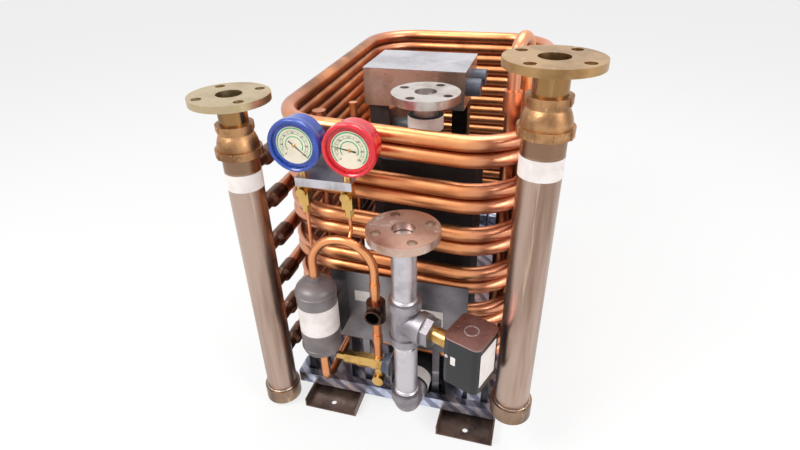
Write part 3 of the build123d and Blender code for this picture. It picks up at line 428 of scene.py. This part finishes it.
# ---- Finishes
finish = {
    "tray_steel": finish_material(
        "swirled_galvanised", srgb(206, 212, 232), srgb(172, 178, 200), (0.42, 0.62), 22.0, EVEN,
        srgb(228, 228, 238), (0.5, 0.66), 30.0, EVEN, (0.26, 0.42), 160.0, EVEN, 0.08,
    ),
    "foot_steel": finish_material(
        "brown_hot_rolled_steel", srgb(122, 100, 88), srgb(80, 66, 60), (0.4, 0.65), 14.0, EVEN,
        srgb(150, 124, 106), (0.6, 0.74), 46.0, EVEN, (0.34, 0.55), 420.0, EVEN, 0.2, metallic=0.7,
    ),
    "dark_copper": finish_material(
        "oxidised_copper", srgb(114, 82, 68), srgb(74, 58, 52), (0.4, 0.64), 26.0, EVEN,
        srgb(168, 112, 86), (0.62, 0.74), 70.0, EVEN, (0.3, 0.48), 260.0, EVEN, 0.1,
    ),
    # Pale vertical streaks on the manifold tubes: partly drawing lines of the tube, partly painted highlight standing
    # in for vertical reflections.
    "manifold_tube": finish_material(
        "cupronickel_drawn_lines_and_painted_highlights", srgb(188, 164, 150), srgb(140, 112, 96), (0.4, 0.68), 9.0, (2.2, 2.2, 0.18),
        srgb(232, 206, 180), (0.58, 0.74), 34.0, (2.0, 2.0, 0.08), (0.26, 0.38), 340.0, (3.0, 3.0, 0.12), 0.05,
    ),
    "bronze": finish_material(
        "rough_cast_bronze", srgb(186, 142, 100), srgb(136, 100, 70), (0.4, 0.66), 26.0, EVEN,
        srgb(216, 176, 128), (0.6, 0.74), 90.0, EVEN, (0.36, 0.52), 900.0, EVEN, 0.35, 0.0006,
    ),
    "cap_bronze": finish_material(
        "turned_cap_bronze", srgb(162, 136, 114), srgb(116, 92, 74), (0.4, 0.68), 14.0, (1.0, 1.0, 0.4),
        srgb(214, 190, 160), (0.6, 0.74), 60.0, (1.0, 1.0, 0.4), (0.28, 0.42), 600.0, EVEN, 0.12,
    ),
    "brass": finish_material(
        "machined_brass", srgb(212, 172, 104), srgb(162, 122, 68), (0.45, 0.7), 28.0, EVEN,
        srgb(228, 198, 136), (0.62, 0.76), 90.0, (1.0, 1.0, 0.3), (0.2, 0.36), 500.0, EVEN, 0.06,
    ),
    "nipple_brass": finish_material(
        "dark_turned_brass", srgb(158, 120, 78), srgb(104, 78, 54), (0.45, 0.7), 16.0, (1.0, 1.0, 0.4),
        srgb(200, 160, 108), (0.62, 0.76), 60.0, (2.4, 2.4, 0.1), (0.16, 0.28), 500.0, EVEN, 0.05,
    ),
    "stainless": finish_material(
        "pickled_stainless", srgb(206, 202, 206), srgb(172, 166, 170), (0.42, 0.68), 18.0, EVEN,
        srgb(226, 222, 224), (0.6, 0.76), 80.0, (2.0, 2.0, 0.4), (0.3, 0.46), 700.0, EVEN, 0.1,
    ),
    "cast_stainless": finish_material(
        "shot_blasted_stainless", srgb(172, 166, 170), srgb(138, 132, 138), (0.4, 0.7), 20.0, EVEN,
        srgb(196, 192, 198), (0.62, 0.78), 120.0, EVEN, (0.38, 0.54), 1100.0, EVEN, 0.3, 0.0005,
    ),
    "plate_steel": finish_material(
        "dull_sheet_steel", srgb(146, 141, 144), srgb(104, 100, 104), (0.38, 0.68), 7.0, EVEN,
        srgb(176, 172, 176), (0.58, 0.76), 26.0, (0.4, 1.0, 2.4), (0.3, 0.46), 300.0, (0.4, 1.0, 3.0), 0.08,
    ),
    "solder": finish_material(
        "silver_solder", srgb(214, 206, 196), srgb(170, 156, 142), (0.45, 0.7), 120.0, EVEN,
        None, rough=(0.2, 0.36), grain_scale=700.0, bump=0.3,
    ),
    "black_foam": finish_material(
        "black_foam_sleeve", srgb(34, 34, 38), srgb(20, 20, 22), (0.4, 0.7), 30.0, EVEN,
        srgb(52, 52, 58), (0.66, 0.8), 90.0, EVEN, (0.6, 0.85), 700.0, EVEN, 0.5, 0.0008, metallic=0.0,
    ),
    "black_paint": finish_material(
        "black_enamel", srgb(12, 13, 17), srgb(20, 21, 26), (0.45, 0.7), 12.0, EVEN,
        srgb(36, 37, 44), (0.74, 0.86), 160.0, EVEN, (0.2, 0.32), 900.0, EVEN, 0.08, metallic=0.0,
    ),
    "grey_paint": finish_material(
        "taupe_grey_enamel", srgb(128, 120, 120), srgb(106, 98, 98), (0.4, 0.7), 16.0, EVEN,
        srgb(150, 142, 142), (0.66, 0.8), 120.0, EVEN, (0.34, 0.5), 900.0, EVEN, 0.2, metallic=0.25,
    ),
    "dark_steel": finish_material(
        "dark_plated_steel", srgb(84, 82, 84), srgb(48, 46, 48), (0.4, 0.7), 20.0, EVEN,
        srgb(120, 116, 116), (0.64, 0.78), 90.0, EVEN, (0.3, 0.5), 500.0, EVEN, 0.2, metallic=0.85,
    ),
    "blue_enamel": finish_material(
        "blue_gloss_enamel", srgb(44, 78, 172), srgb(34, 62, 150), (0.4, 0.7), 20.0, EVEN,
        srgb(70, 104, 190), (0.72, 0.86), 160.0, EVEN, (0.16, 0.26), 800.0, EVEN, 0.05, metallic=0.0, coat=0.4,
    ),
    "red_enamel": finish_material(
        "red_gloss_enamel", srgb(226, 26, 44), srgb(196, 14, 34), (0.4, 0.7), 20.0, EVEN,
        srgb(238, 60, 70), (0.72, 0.86), 160.0, EVEN, (0.16, 0.26), 800.0, EVEN, 0.05, metallic=0.0, coat=0.4,
    ),
    "dial_white": finish_material(
        "ivory_dial", srgb(238, 226, 206), srgb(228, 214, 192), (0.4, 0.7), 40.0, EVEN,
        None, rough=(0.5, 0.6), grain_scale=900.0, bump=0.03, metallic=0.0,
    ),
    "box_steel": finish_material(
        "satin_box_steel", srgb(214, 200, 192), srgb(166, 146, 132), (0.4, 0.7), 10.0, (1.0, 1.0, 0.5),
        srgb(230, 222, 218), (0.58, 0.76), 22.0, (1.0, 1.0, 1.0), (0.24, 0.36), 300.0, (0.3, 0.3, 4.0), 0.06,
    ),
    "box_lid": finish_material(
        "brushed_lid_steel", srgb(206, 204, 210), srgb(172, 168, 174), (0.42, 0.7), 9.0, EVEN,
        srgb(228, 226, 232), (0.58, 0.76), 30.0, (1.0, 4.0, 1.0), (0.22, 0.36), 300.0, (0.4, 4.0, 1.0), 0.05,
    ),
    "switch_cover": finish_material(
        "copper_toned_cover", srgb(170, 138, 134), srgb(132, 104, 102), (0.4, 0.7), 14.0, EVEN,
        srgb(196, 166, 160), (0.6, 0.78), 40.0, (1.0, 3.0, 1.0), (0.24, 0.38), 300.0, (0.4, 4.0, 1.0), 0.05,
    ),
    "grey_plastic": finish_material(
        "blue_grey_nylon", srgb(88, 96, 112), srgb(62, 68, 82), (0.4, 0.7), 26.0, EVEN,
        srgb(124, 130, 144), (0.68, 0.8), 160.0, EVEN, (0.3, 0.46), 900.0, EVEN, 0.15, metallic=0.0,
    ),
    "paper": finish_material(
        "label_paper", srgb(240, 232, 228), srgb(222, 212, 208), (0.42, 0.7), 22.0, EVEN,
        srgb(248, 244, 242), (0.6, 0.8), 90.0, EVEN, (0.42, 0.56), 700.0, EVEN, 0.1, metallic=0.0,
    ),
    "black_ink": finish_material(
        "black_print", srgb(24, 22, 22), srgb(40, 36, 36), (0.4, 0.7), 60.0, EVEN,
        None, rough=(0.4, 0.5), grain_scale=700.0, bump=0.05, metallic=0.0,
    ),
    "green_ink": finish_material(
        "green_print", srgb(48, 160, 98), srgb(84, 182, 128), (0.4, 0.7), 60.0, EVEN,
        None, rough=(0.4, 0.5), grain_scale=700.0, bump=0.05, metallic=0.0,
    ),
}

# Copper of the coil: bright where it was cleaned, pinkish on the bends, brown on the inlet side, and painted shade on
# the faces that look down
coil_low, coil_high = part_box("coil_circuit_1")
coil_middle = (coil_low + coil_high) / 2
bend_inset = 0.125


def coil_copper_material():
    material = finish_material(
        "coil_copper_patina", srgb(238, 164, 112), srgb(206, 124, 78), (0.4, 0.72), 7.0, (0.6, 0.6, 0.9),
        srgb(150, 88, 62), (0.66, 0.84), 16.0, (0.7, 0.7, 0.9), (0.27, 0.4), 90.0, EVEN, 0.03,
    )
    tree, shader, old = colour_link(material)
    split = tree.nodes.new("ShaderNodeSeparateXYZ")
    place = tree.nodes.new("ShaderNodeTexCoord").outputs["Object"]
    tree.links.new(place, split.inputs[0])
    left_side = spread_node(tree, split.outputs["X"], coil_low.x + 0.05, coil_low.x + 0.008)
    patches = noise_node(tree, place, 12.0)
    brown = math_node(tree, "MULTIPLY", left_side, spread_node(tree, patches, 0.25, 0.65))
    colour = mix_node(tree, brown, old, srgb(128, 88, 70))
    across = math_node(tree, "ABSOLUTE", math_node(tree, "SUBTRACT", split.outputs["X"], coil_middle.x))
    half_width = (coil_high.x - coil_low.x) / 2
    corner = spread_node(tree, across, half_width - bend_inset, half_width - bend_inset * 0.6)
    along = math_node(tree, "ABSOLUTE", math_node(tree, "SUBTRACT", split.outputs["Y"], coil_middle.y))
    half_depth = (coil_high.y - coil_low.y) / 2
    end = spread_node(tree, along, half_depth - bend_inset - 0.06, half_depth - bend_inset)
    pink = math_node(tree, "MULTIPLY", math_node(tree, "MULTIPLY", corner, end), 0.6)
    colour = mix_node(tree, pink, colour, srgb(214, 150, 124))
    tree.links.new(colour, shader.inputs["Base Color"])
    # Painted shade: the faces of the coil tubes that look down are darkened to dark brown.
    add_underside(material, srgb(116, 66, 44), 0.75)
    pit_tree, pit_shader, clean = colour_link(material)
    pit_noise = noise_node(pit_tree, place, 150.0, 2.0)
    pits = math_node(pit_tree, "MULTIPLY", spread_node(pit_tree, pit_noise, 0.72, 0.8), 0.7)
    pit_tree.links.new(mix_node(pit_tree, pits, clean, srgb(74, 44, 34)), pit_shader.inputs["Base Color"])
    return material


finish["coil_copper"] = coil_copper_material()


def glass_material(name, tint):
    material = bpy.data.materials.new(name)
    material.use_nodes = True
    tree = material.node_tree
    shader = tree.nodes["Principled BSDF"]
    shader.inputs["Base Color"].default_value = tint
    shader.inputs["Transmission Weight"].default_value = 1.0
    shader.inputs["IOR"].default_value = 1.08
    grain = group_node(tree, grain_group, Scale=500.0, Stretch=EVEN, Smooth=0.0, Rough=0.04)
    tree.links.new(grain.outputs["Roughness"], shader.inputs["Roughness"])
    return material


finish["clear_glass"] = glass_material("gauge_glass", (0.97, 0.98, 0.97, 1.0))

add_swirls(finish["tray_steel"], srgb(118, 122, 146), 0.85)

# Every CAD node takes the finish of its slot
slot_of = {row["node"]: row["material_slot"] for row in frame["record"]["subparts"]}


def dress(node_name, material):
    mesh_object = nodes_by_name[node_name]
    mesh_object.data.materials.clear()
    mesh_object.data.materials.append(material)


own_finish = {
    "front_plate": "plate_steel",
    "water_in_nipple": "nipple_brass",
    "water_out_nipple": "nipple_brass",
    "water_in_cap": "cap_bronze",
    "water_out_cap": "cap_bronze",
    "flow_switch_cover": "switch_cover",
}
for node_name, slot_name in slot_of.items():
    dress(node_name, finish[own_finish.get(node_name, slot_name)])


# ---- Helpers that make meshes
def add_piece(name, mesh, material, smooth=True, sharp_angle=math.radians(35)):
    mesh.materials.append(material)
    if smooth:
        mesh.shade_smooth()
        mesh.set_sharp_from_angle(angle=sharp_angle)
    piece = bpy.data.objects.new(name, mesh)
    bpy.context.scene.collection.objects.link(piece)
    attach(piece, "root")
    return piece


def mesh_from(bm, name):
    bmesh.ops.recalc_face_normals(bm, faces=bm.faces)
    mesh = bpy.data.meshes.new(name)
    bm.to_mesh(mesh)
    bm.free()
    return mesh


def axis_matrix(centre, direction, across=None):
    """A frame at centre whose Z runs along direction."""
    forward = Vector(direction).normalized()
    guide = Vector(across) if across else Vector((0, 0, 1)) if abs(forward.z) < 0.9 else Vector((1, 0, 0))
    side = guide.cross(forward).normalized()
    up = forward.cross(side)
    matrix = Matrix((side, up, forward)).transposed().to_4x4()
    matrix.translation = Vector(centre)
    return matrix


def turn_profile(bm, profile, matrix, steps=48, start=0.0, sweep=2 * math.pi, closed_loop=False):
    """Turns a list of (radius, height) points about the Z of matrix."""
    whole = abs(sweep - 2 * math.pi) < 1e-6
    count = steps if whole else steps + 1
    rings = []
    for step in range(count):
        angle = start + sweep * step / steps
        direction = Vector((math.cos(angle), math.sin(angle), 0))
        rings.append([bm.verts.new(matrix @ (direction * r + Vector((0, 0, h)))) for r, h in profile])
    pairs = len(profile) if closed_loop else len(profile) - 1
    for step in range(steps):
        near, far = rings[step], rings[(step + 1) % count]
        for i in range(pairs):
            j = (i + 1) % len(profile)
            bm.faces.new((near[i], far[i], far[j], near[j]))
    if not whole:
        if closed_loop:
            bm.faces.new(rings[0])
            bm.faces.new(rings[-1])
    elif not closed_loop:
        bm.faces.new([ring[0] for ring in rings])
        bm.faces.new([ring[-1] for ring in rings])
    return bm


def turned_piece(name, profile, matrix, material, steps=48, closed_loop=False):
    bm = turn_profile(bmesh.new(), profile, matrix, steps, closed_loop=closed_loop)
    return add_piece(name, mesh_from(bm, name), material)


def wrap_label(name, matrix, radius, height, start, sweep, material, thickness=0.0003):
    """A paper label laid round a tube: a thin curved sheet with closed edges."""
    gap = 0.00015
    profile = [
        (radius + gap, -height / 2),
        (radius + gap + thickness, -height / 2),
        (radius + gap + thickness, height / 2),
        (radius + gap, height / 2),
    ]
    bm = turn_profile(bmesh.new(), profile, matrix, 40, start, sweep, closed_loop=True)
    return add_piece(name, mesh_from(bm, name), material)


def rounded_plate(bm, matrix, width, height, thickness, radius, steps=5, bevel=0.0):
    """A flat plate with rounded corners, its back on the plane of matrix."""
    outline = []
    for cx, cy, first in ((1, 1, 0), (-1, 1, 90), (-1, -1, 180), (1, -1, 270)):
        for step in range(steps + 1):
            angle = math.radians(first + 90 * step / steps)
            outline.append(
                Vector((cx * (width / 2 - radius) + radius * math.cos(angle), cy * (height / 2 - radius) + radius * math.sin(angle), 0))
            )
    low = [bm.verts.new(matrix @ p) for p in outline]
    inset = bevel
    rims = [low]
    if bevel:
        rims.append([bm.verts.new(matrix @ (p + Vector((0, 0, thickness - bevel)))) for p in outline])
        scale_x = (width / 2 - inset) / (width / 2)
        scale_y = (height / 2 - inset) / (height / 2)
        rims.append([bm.verts.new(matrix @ Vector((p.x * scale_x, p.y * scale_y, thickness))) for p in outline])
    else:
        rims.append([bm.verts.new(matrix @ (p + Vector((0, 0, thickness)))) for p in outline])
    count = len(outline)
    for lower, upper in zip(rims, rims[1:]):
        for i in range(count):
            j = (i + 1) % count
            bm.faces.new((lower[i], lower[j], upper[j], upper[i]))
    bm.faces.new(low)
    bm.faces.new(rims[-1])


def plate_piece(name, matrix, size, material, radius=0.002, bevel=0.0):
    bm = bmesh.new()
    rounded_plate(bm, matrix, size[0], size[1], size[2], radius, bevel=bevel)
    return add_piece(name, mesh_from(bm, name), material)


def hexagon_head(bm, matrix, across_flats, height, chamfer=0.08):
    """A hexagon with its top corners taken off."""
    corner = across_flats / math.sqrt(3)
    rims = []
    for scale, level in ((1.0, 0.0), (1.0, height * (1 - chamfer * 2)), (1.0 - chamfer, height)):
        rims.append(
            [
                bm.verts.new(matrix @ Vector((corner * scale * math.cos(math.radians(60 * i)), corner * scale * math.sin(math.radians(60 * i)), level)))
                for i in range(6)
            ]
        )
    for lower, upper in zip(rims, rims[1:]):
        for i in range(6):
            j = (i + 1) % 6
            bm.faces.new((lower[i], lower[j], upper[j], upper[i]))
    bm.faces.new(rims[0])
    bm.faces.new(rims[-1])


def tube_curve(name, points, radius, material, slot_name=None, bevel_steps=6, cyclic=False):
    """A pipe or wire on a smooth curve through a few points, fixed to the object."""
    curve = bpy.data.curves.new(name, "CURVE")
    curve.dimensions = "3D"
    curve.resolution_u = 10
    curve.bevel_depth = radius
    curve.bevel_resolution = bevel_steps
    curve.use_fill_caps = True
    spline = curve.splines.new("BEZIER")
    spline.bezier_points.add(len(points) - 1)
    for knot, point in zip(spline.bezier_points, points):
        knot.co = point
        knot.handle_left_type = "AUTO"
        knot.handle_right_type = "AUTO"
    spline.use_cyclic_u = cyclic
    helper = bpy.data.objects.new(name + "_curve", curve)
    bpy.context.scene.collection.objects.link(helper)
    mesh = bpy.data.meshes.new_from_object(helper)
    bpy.data.objects.remove(helper)
    mesh.name = name
    mesh.materials.clear()
    return add_piece(name, mesh, material)


def ring_of(node_name):
    """Axis centre, lowest and highest height and radius of an upright round node."""
    low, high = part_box(node_name)
    middle = (low + high) / 2
    return Vector((middle.x, middle.y, 0)), low.z, high.z, max(high.x - low.x, high.y - low.y) / 2


def towards_camera(place):
    """Angle about Z that faces the camera from a place."""
    away = camera_place - Vector(place)
    return math.atan2(away.y, away.x)


# ---- Manifolds: paper bands, turned flange tops, reducer ribs
random.seed(7)
flange_colours = {
    "water_in": (srgb(196, 176, 142), srgb(160, 134, 96)),
    "water_out": (srgb(184, 148, 102), srgb(144, 110, 72)),
}


def braze_bead(name, centre, height, radius, thickness, material):
    """A lumpy ring of braze round a tube."""
    bm = bmesh.new()
    steps = 72
    rings = []
    for step in range(steps):
        angle = 2 * math.pi * step / steps
        swell = thickness * random.uniform(0.6, 1.0)
        direction = Vector((math.cos(angle), math.sin(angle), 0))
        ring = []
        for corner in range(6):
            turn = math.radians(60 * corner)
            reach = radius + swell * 0.55 * math.cos(turn)
            ring.append(bm.verts.new(centre + direction * reach + Vector((0, 0, height + swell * math.sin(turn)))))
        rings.append(ring)
    for near, far in zip(rings, rings[1:] + rings[:1]):
        for corner in range(6):
            other = (corner + 1) % 6
            bm.faces.new((near[corner], far[corner], far[other], near[other]))
    return add_piece(name, mesh_from(bm, name), material, sharp_angle=math.radians(80))


for side in ("water_in", "water_out"):
    centre, foot_z, tube_top, tube_radius = ring_of(f"{side}_manifold")
    band_height = 0.030
    band_z = tube_top - 0.043
    facing = towards_camera(centre)
    matrix = Matrix.Translation(centre + Vector((0, 0, band_z)))
    wrap_label(f"{side}_label", matrix, tube_radius, band_height, facing - 1.9, 3.9, finish["paper"])
    tube_finish = finish["manifold_tube"].copy()
    tube_finish.name = f"{side}_tube_finish"
    add_band(tube_finish, "Z", tube_top - 0.027, tube_top + 0.01, srgb(142, 112, 90), 0.004)
    dress(f"{side}_manifold", tube_finish)
    flange_finish = finish_material(
        f"{side}_flange_bronze", *flange_colours[side], (0.42, 0.7), 14.0, EVEN,
        srgb(214, 186, 142), (0.6, 0.76), 60.0, EVEN, (0.28, 0.42), 600.0, EVEN, 0.12,
    )
    add_turning(flange_finish, centre, 460.0, 0.3)
    dress(f"{side}_flange", flange_finish)
    _, reducer_low, reducer_high, reducer_radius = ring_of(f"{side}_reducer")
    bm = bmesh.new()
    for turn in range(4):
        angle = facing + math.radians(-62 + 41 * turn)
        outward = Vector((math.cos(angle), math.sin(angle), 0))
        for level, height, radius in ((reducer_high - 0.0055, 0.011, 0.0303), (reducer_low + 0.006, 0.0125, 0.0378)):
            spot = centre + outward * radius + Vector((0, 0, level))
            rounded_plate(bm, axis_matrix(spot, outward, (0, 0, 1)), 0.0035, height, 0.0014, 0.0012, bevel=0.0005)
    add_piece(f"{side}_reducer_ribs", mesh_from(bm, "ribs"), finish["bronze"])
    cap_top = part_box(f"{side}_cap")[1].z
    braze_bead(f"{side}_cap_braze", centre, cap_top, tube_radius + 0.001, 0.0022, finish["solder"])

# ---- Threads that show beside the stainless fittings
thread_pitch = 0.0022
thread_depth = 0.0009


def thread_rings(name, centre, low_z, high_z, radius):
    profile = [(radius - 0.001, low_z)]
    level = low_z
    while level < high_z - thread_pitch / 2:
        profile.append((radius + 0.0001, level))
        profile.append((radius + thread_depth, level + thread_pitch / 2))
        level += thread_pitch
    profile.append((radius - 0.001, high_z))
    return turned_piece(name, profile, Matrix.Translation(centre), finish["stainless"], steps=64)


pipe_centre, _, _, pipe_radius = ring_of("supply_lower_pipe")
supply_low, supply_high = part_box("supply_pipe")
lower_low, lower_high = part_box("supply_lower_pipe")
thread_rings("supply_thread_above_tee", pipe_centre, supply_low.z, supply_low.z + 0.007, pipe_radius)
thread_rings("supply_thread_below_tee", pipe_centre, lower_high.z - 0.013, lower_high.z, pipe_radius)
thread_rings("supply_thread_at_elbow", pipe_centre, lower_low.z, lower_low.z + 0.009, pipe_radius)
return_centre, return_low, return_high, return_radius = ring_of("return_pipe")
thread_rings("return_thread", return_centre, return_high - 0.008, return_high, return_radius)
thread_rings("supply_thread_top", pipe_centre, supply_high.z - 0.008, supply_high.z, pipe_radius)
flange_tones = {
    "return_flange": (srgb(206, 198, 192), srgb(168, 152, 142)),
    "supply_flange": (srgb(206, 176, 160), srgb(164, 128, 110)),
}
for name in ("return_flange", "supply_flange"):
    centre, _, _, _ = ring_of(name)
    flange_steel = finish_material(
        f"{name}_steel", *flange_tones[name], (0.42, 0.7), 16.0, EVEN,
        srgb(222, 214, 212), (0.58, 0.74), 60.0, EVEN, (0.26, 0.4), 600.0, EVEN, 0.12,
    )
    add_turning(flange_steel, centre, 420.0, 0.22)
    dress(name, flange_steel)

# ---- Bands on the foam sleeves
sleeve_centre, sleeve_low, sleeve_high, sleeve_radius = ring_of("return_sleeve")
wrap_label(
    "return_sleeve_label", Matrix.Translation(sleeve_centre + Vector((0, 0, sleeve_high - 0.012))),
    sleeve_radius, 0.024, 0.0, 2 * math.pi - 0.02, finish["paper"],
)
tail_low, tail_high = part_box("supply_tail")
tail_middle = (tail_low + tail_high) / 2
tail_radius = (tail_high.x - tail_low.x) / 2
wrap_label(
    "supply_tail_label", axis_matrix((tail_middle.x, tail_low.y + 0.016, tail_middle.z), (0, 1, 0)),
    tail_radius, 0.026, 0.0, 2 * math.pi - 0.02, finish["paper"],
)

# ---- Gauges: rounded case, printed dial, needle
gauge_red_angle = math.radians(170)
gauge_blue_angle = math.radians(-40)


def gauge(prefix, case_finish, needle_angle):
    low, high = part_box(f"{prefix}_gauge_case")
    middle = (low + high) / 2
    radius = (high.x - low.x) / 2
    matrix = axis_matrix((middle.x, low.y, middle.z), (0, -1, 0))
    case_depth = high.y - low.y
    ring_depth = 0.016
    case_radius = radius - 0.004
    recess = 0.0373
    profile = [
        (0.0, -case_depth),
        (case_radius - 0.004, -case_depth),
        (case_radius, -case_depth + 0.004),
        (case_radius, -ring_depth - 0.001),
        (radius - 0.0012, -ring_depth),
        (radius, -ring_depth + 0.002),
        (radius, -0.006),
        (radius - 0.0012, -0.0022),
        (radius - 0.004, -0.0003),
        (recess + 0.002, -0.0003),
        (recess, -0.0018),
        (recess, -0.009),
        (0.0, -0.009),
    ]
    bm = turn_profile(bmesh.new(), profile[1:-1], matrix, 96)
    case = add_piece(f"{prefix}_gauge_body", mesh_from(bm, "case"), case_finish)
    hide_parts(f"{prefix}_gauge_case")
    face = matrix @ Matrix.Translation((0, 0, -0.0074))
    marks = bmesh.new()
    for tick in range(61):
        angle = math.radians(225 - 270 * tick / 60)
        major = tick % 5 == 0
        length = 0.0042 if major else 0.0024
        width = 0.0006 if major else 0.0003
        spot = face @ Matrix.Rotation(angle, 4, "Z") @ Matrix.Translation((0.0245 - length / 2, 0, 0))
        rounded_plate(marks, spot, length, width, 0.00012, width * 0.3, steps=1)
    add_piece(f"{prefix}_gauge_marks", mesh_from(marks, "marks"), finish["black_ink"], smooth=False)
    print_ink = bmesh.new()
    for inner, outer, first, last in ((0.0272, 0.0292, -45, 225), (0.0136, 0.0152, -30, 215), (0.0190, 0.0198, -40, 200)):
        profile = [(inner, 0.0), (outer, 0.0), (outer, 0.00012), (inner, 0.00012)]
        turn_profile(print_ink, profile, face, 60, math.radians(first), math.radians(last - first), closed_loop=True)
    add_piece(f"{prefix}_gauge_green_scale", mesh_from(print_ink, "scale"), finish["green_ink"], smooth=False)
    rim = bmesh.new()
    profile = [(0.0305, 0.0), (0.0368, 0.0), (0.0368, 0.00015), (0.0305, 0.00015)]
    turn_profile(rim, profile, face, 72, closed_loop=True)
    add_piece(f"{prefix}_gauge_colour_scale", mesh_from(rim, "rim"), case_finish, smooth=False)
    needle = bmesh.new()
    lift = face @ Matrix.Translation((0, 0, 0.0012)) @ Matrix.Rotation(needle_angle, 4, "Z")
    outline = ((-0.011, -0.0011), (-0.011, 0.0011), (0.0, 0.0009), (0.0285, 0.00025), (0.0285, -0.00025), (0.0, -0.0009))
    levels = [[needle.verts.new(lift @ Vector((x, y, z))) for x, y in outline] for z in (0.0, 0.0004)]
    for i in range(len(outline)):
        j = (i + 1) % len(outline)
        needle.faces.new((levels[0][i], levels[0][j], levels[1][j], levels[1][i]))
    needle.faces.new(levels[0])
    needle.faces.new(levels[1])
    add_piece(f"{prefix}_gauge_needle", mesh_from(needle, "needle"), finish["black_ink"], smooth=False)
    hub = [(0.0, 0.0), (0.0026, 0.0), (0.0026, 0.0018), (0.0018, 0.0024), (0.0, 0.0024)]
    turned_piece(f"{prefix}_gauge_hub", hub[1:4], face, finish["brass"], steps=24)
    for number in range(7):
        angle = math.radians(225 - 45 * number)
        text = bpy.data.curves.new(f"{prefix}_number_{number}", "FONT")
        text.body = str(number * (20 if prefix == "low" else 50))
        text.size = 0.0042
        text.align_x = "CENTER"
        text.align_y = "CENTER"
        text.extrude = 0.00005
        holder = bpy.data.objects.new("number_holder", text)
        bpy.context.scene.collection.objects.link(holder)
        spot = Matrix.Translation((0.0205 * math.cos(angle), 0.0205 * math.sin(angle), 0.00012))
        mesh = bpy.data.meshes.new_from_object(holder)
        bpy.data.objects.remove(holder)
        upright = face @ spot
        mesh.transform(upright)
        mesh.materials.clear()
        add_piece(f"{prefix}_gauge_number_{number}", mesh, finish["black_ink"], smooth=False)


gauge("low", finish["blue_enamel"], gauge_blue_angle)
gauge("high", finish["red_enamel"], gauge_red_angle)

# ---- Drier: domed shell with weld beads and a paper band
drier_centre, drier_low, drier_high, drier_radius = ring_of("drier_shell")
neck_height = 0.008
dome_top = drier_high - neck_height


def drier_profile():
    dome = 0.017
    points = []
    for step in range(9):
        angle = math.radians(90 * step / 8)
        points.append((max(0.012, (drier_radius - 0.002) * math.sin(angle)), drier_low + dome * (1 - math.cos(angle))))
    bead_low = drier_low + dome + 0.004
    points += [
        (drier_radius - 0.0016, bead_low),
        (drier_radius, bead_low + 0.001),
        (drier_radius, bead_low + 0.004),
        (drier_radius - 0.0012, bead_low + 0.005),
    ]
    bead_high = dome_top - dome - 0.009
    points += [
        (drier_radius - 0.0012, bead_high),
        (drier_radius, bead_high + 0.001),
        (drier_radius, bead_high + 0.004),
        (drier_radius - 0.0016, bead_high + 0.005),
    ]
    for step in range(9):
        angle = math.radians(90 - 90 * step / 8)
        points.append((max(0.012, (drier_radius - 0.002) * math.sin(angle)), dome_top - dome * (1 - math.cos(angle))))
    points += [(0.0118, dome_top + 0.001), (0.0112, drier_high)]
    return points


drier_can = turned_piece("drier_can", drier_profile(), Matrix.Translation(drier_centre), finish["grey_paint"], steps=72)
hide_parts("drier_shell")
drier_facing = towards_camera(drier_centre)
label_height = 0.058
drier_label_z = (drier_low + dome_top) / 2 + 0.008
wrap_label(
    "drier_label", Matrix.Translation(drier_centre + Vector((0, 0, drier_label_z))),
    drier_radius - 0.0012, label_height, drier_facing - 1.35, 2.9, finish["paper"],
)

# ---- Flow switch: knockout ring, screw, bare stickers
switch_low, switch_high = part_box("flow_switch_body")
switch_turn = math.radians(-21)
switch_middle = (switch_low + switch_high) / 2
switch_along = Vector((math.cos(switch_turn), math.sin(switch_turn), 0))
switch_across = Vector((-math.sin(switch_turn), math.cos(switch_turn), 0))
switch_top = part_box("flow_switch_cover")[1].z
half_width, half_depth = 0.0335, 0.036
knockout = [(0.0105, 0.0), (0.0125, 0.0), (0.0125, 0.0006), (0.0105, 0.0006)]
turned_piece(
    "switch_knockout_ring", knockout, Matrix.Translation((switch_middle.x, switch_middle.y, switch_top)),
    finish["box_lid"], closed_loop=True,
)
front_face = switch_middle - switch_across * half_depth
sticker = axis_matrix(front_face - switch_along * 0.012 + Vector((0, 0, 0.006)), -switch_across)
plate_piece("switch_small_sticker", sticker, (0.009, 0.017, 0.0003), finish["paper"], radius=0.0015)
screw = bmesh.new()
spot = axis_matrix(front_face - switch_along * 0.024 + Vector((0, 0, 0.012)), -switch_across)
turn_profile(screw, [(0.0034, 0.0), (0.0034, 0.0012), (0.0024, 0.0020)], spot, 24)
add_piece("switch_cover_screw", mesh_from(screw, "screw"), finish["stainless"])
side_face = switch_middle + switch_along * half_width
side_label = axis_matrix(side_face + Vector((0, 0, 0.002)) - switch_across * 0.004, switch_along)
plate_piece("switch_side_label", side_label, (0.05, 0.07, 0.0003), finish["paper"], radius=0.002)

# ---- Front plate stickers
plate_low, plate_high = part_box("front_plate")
plate_face_y = -0.3675
square_sticker = axis_matrix((-0.078, plate_face_y, 0.262), (0, -1, 0))
plate_piece("plate_square_sticker", square_sticker, (0.03, 0.024, 0.0003), finish["paper"], radius=0.001)
rating = axis_matrix((0.055, plate_face_y, 0.235), (0, -1, 0))
plate_piece("plate_bare_sticker", rating, (0.05, 0.036, 0.0003), finish["paper"], radius=0.002)

# ---- Last update of the view layer
bpy.context.view_layer.update()
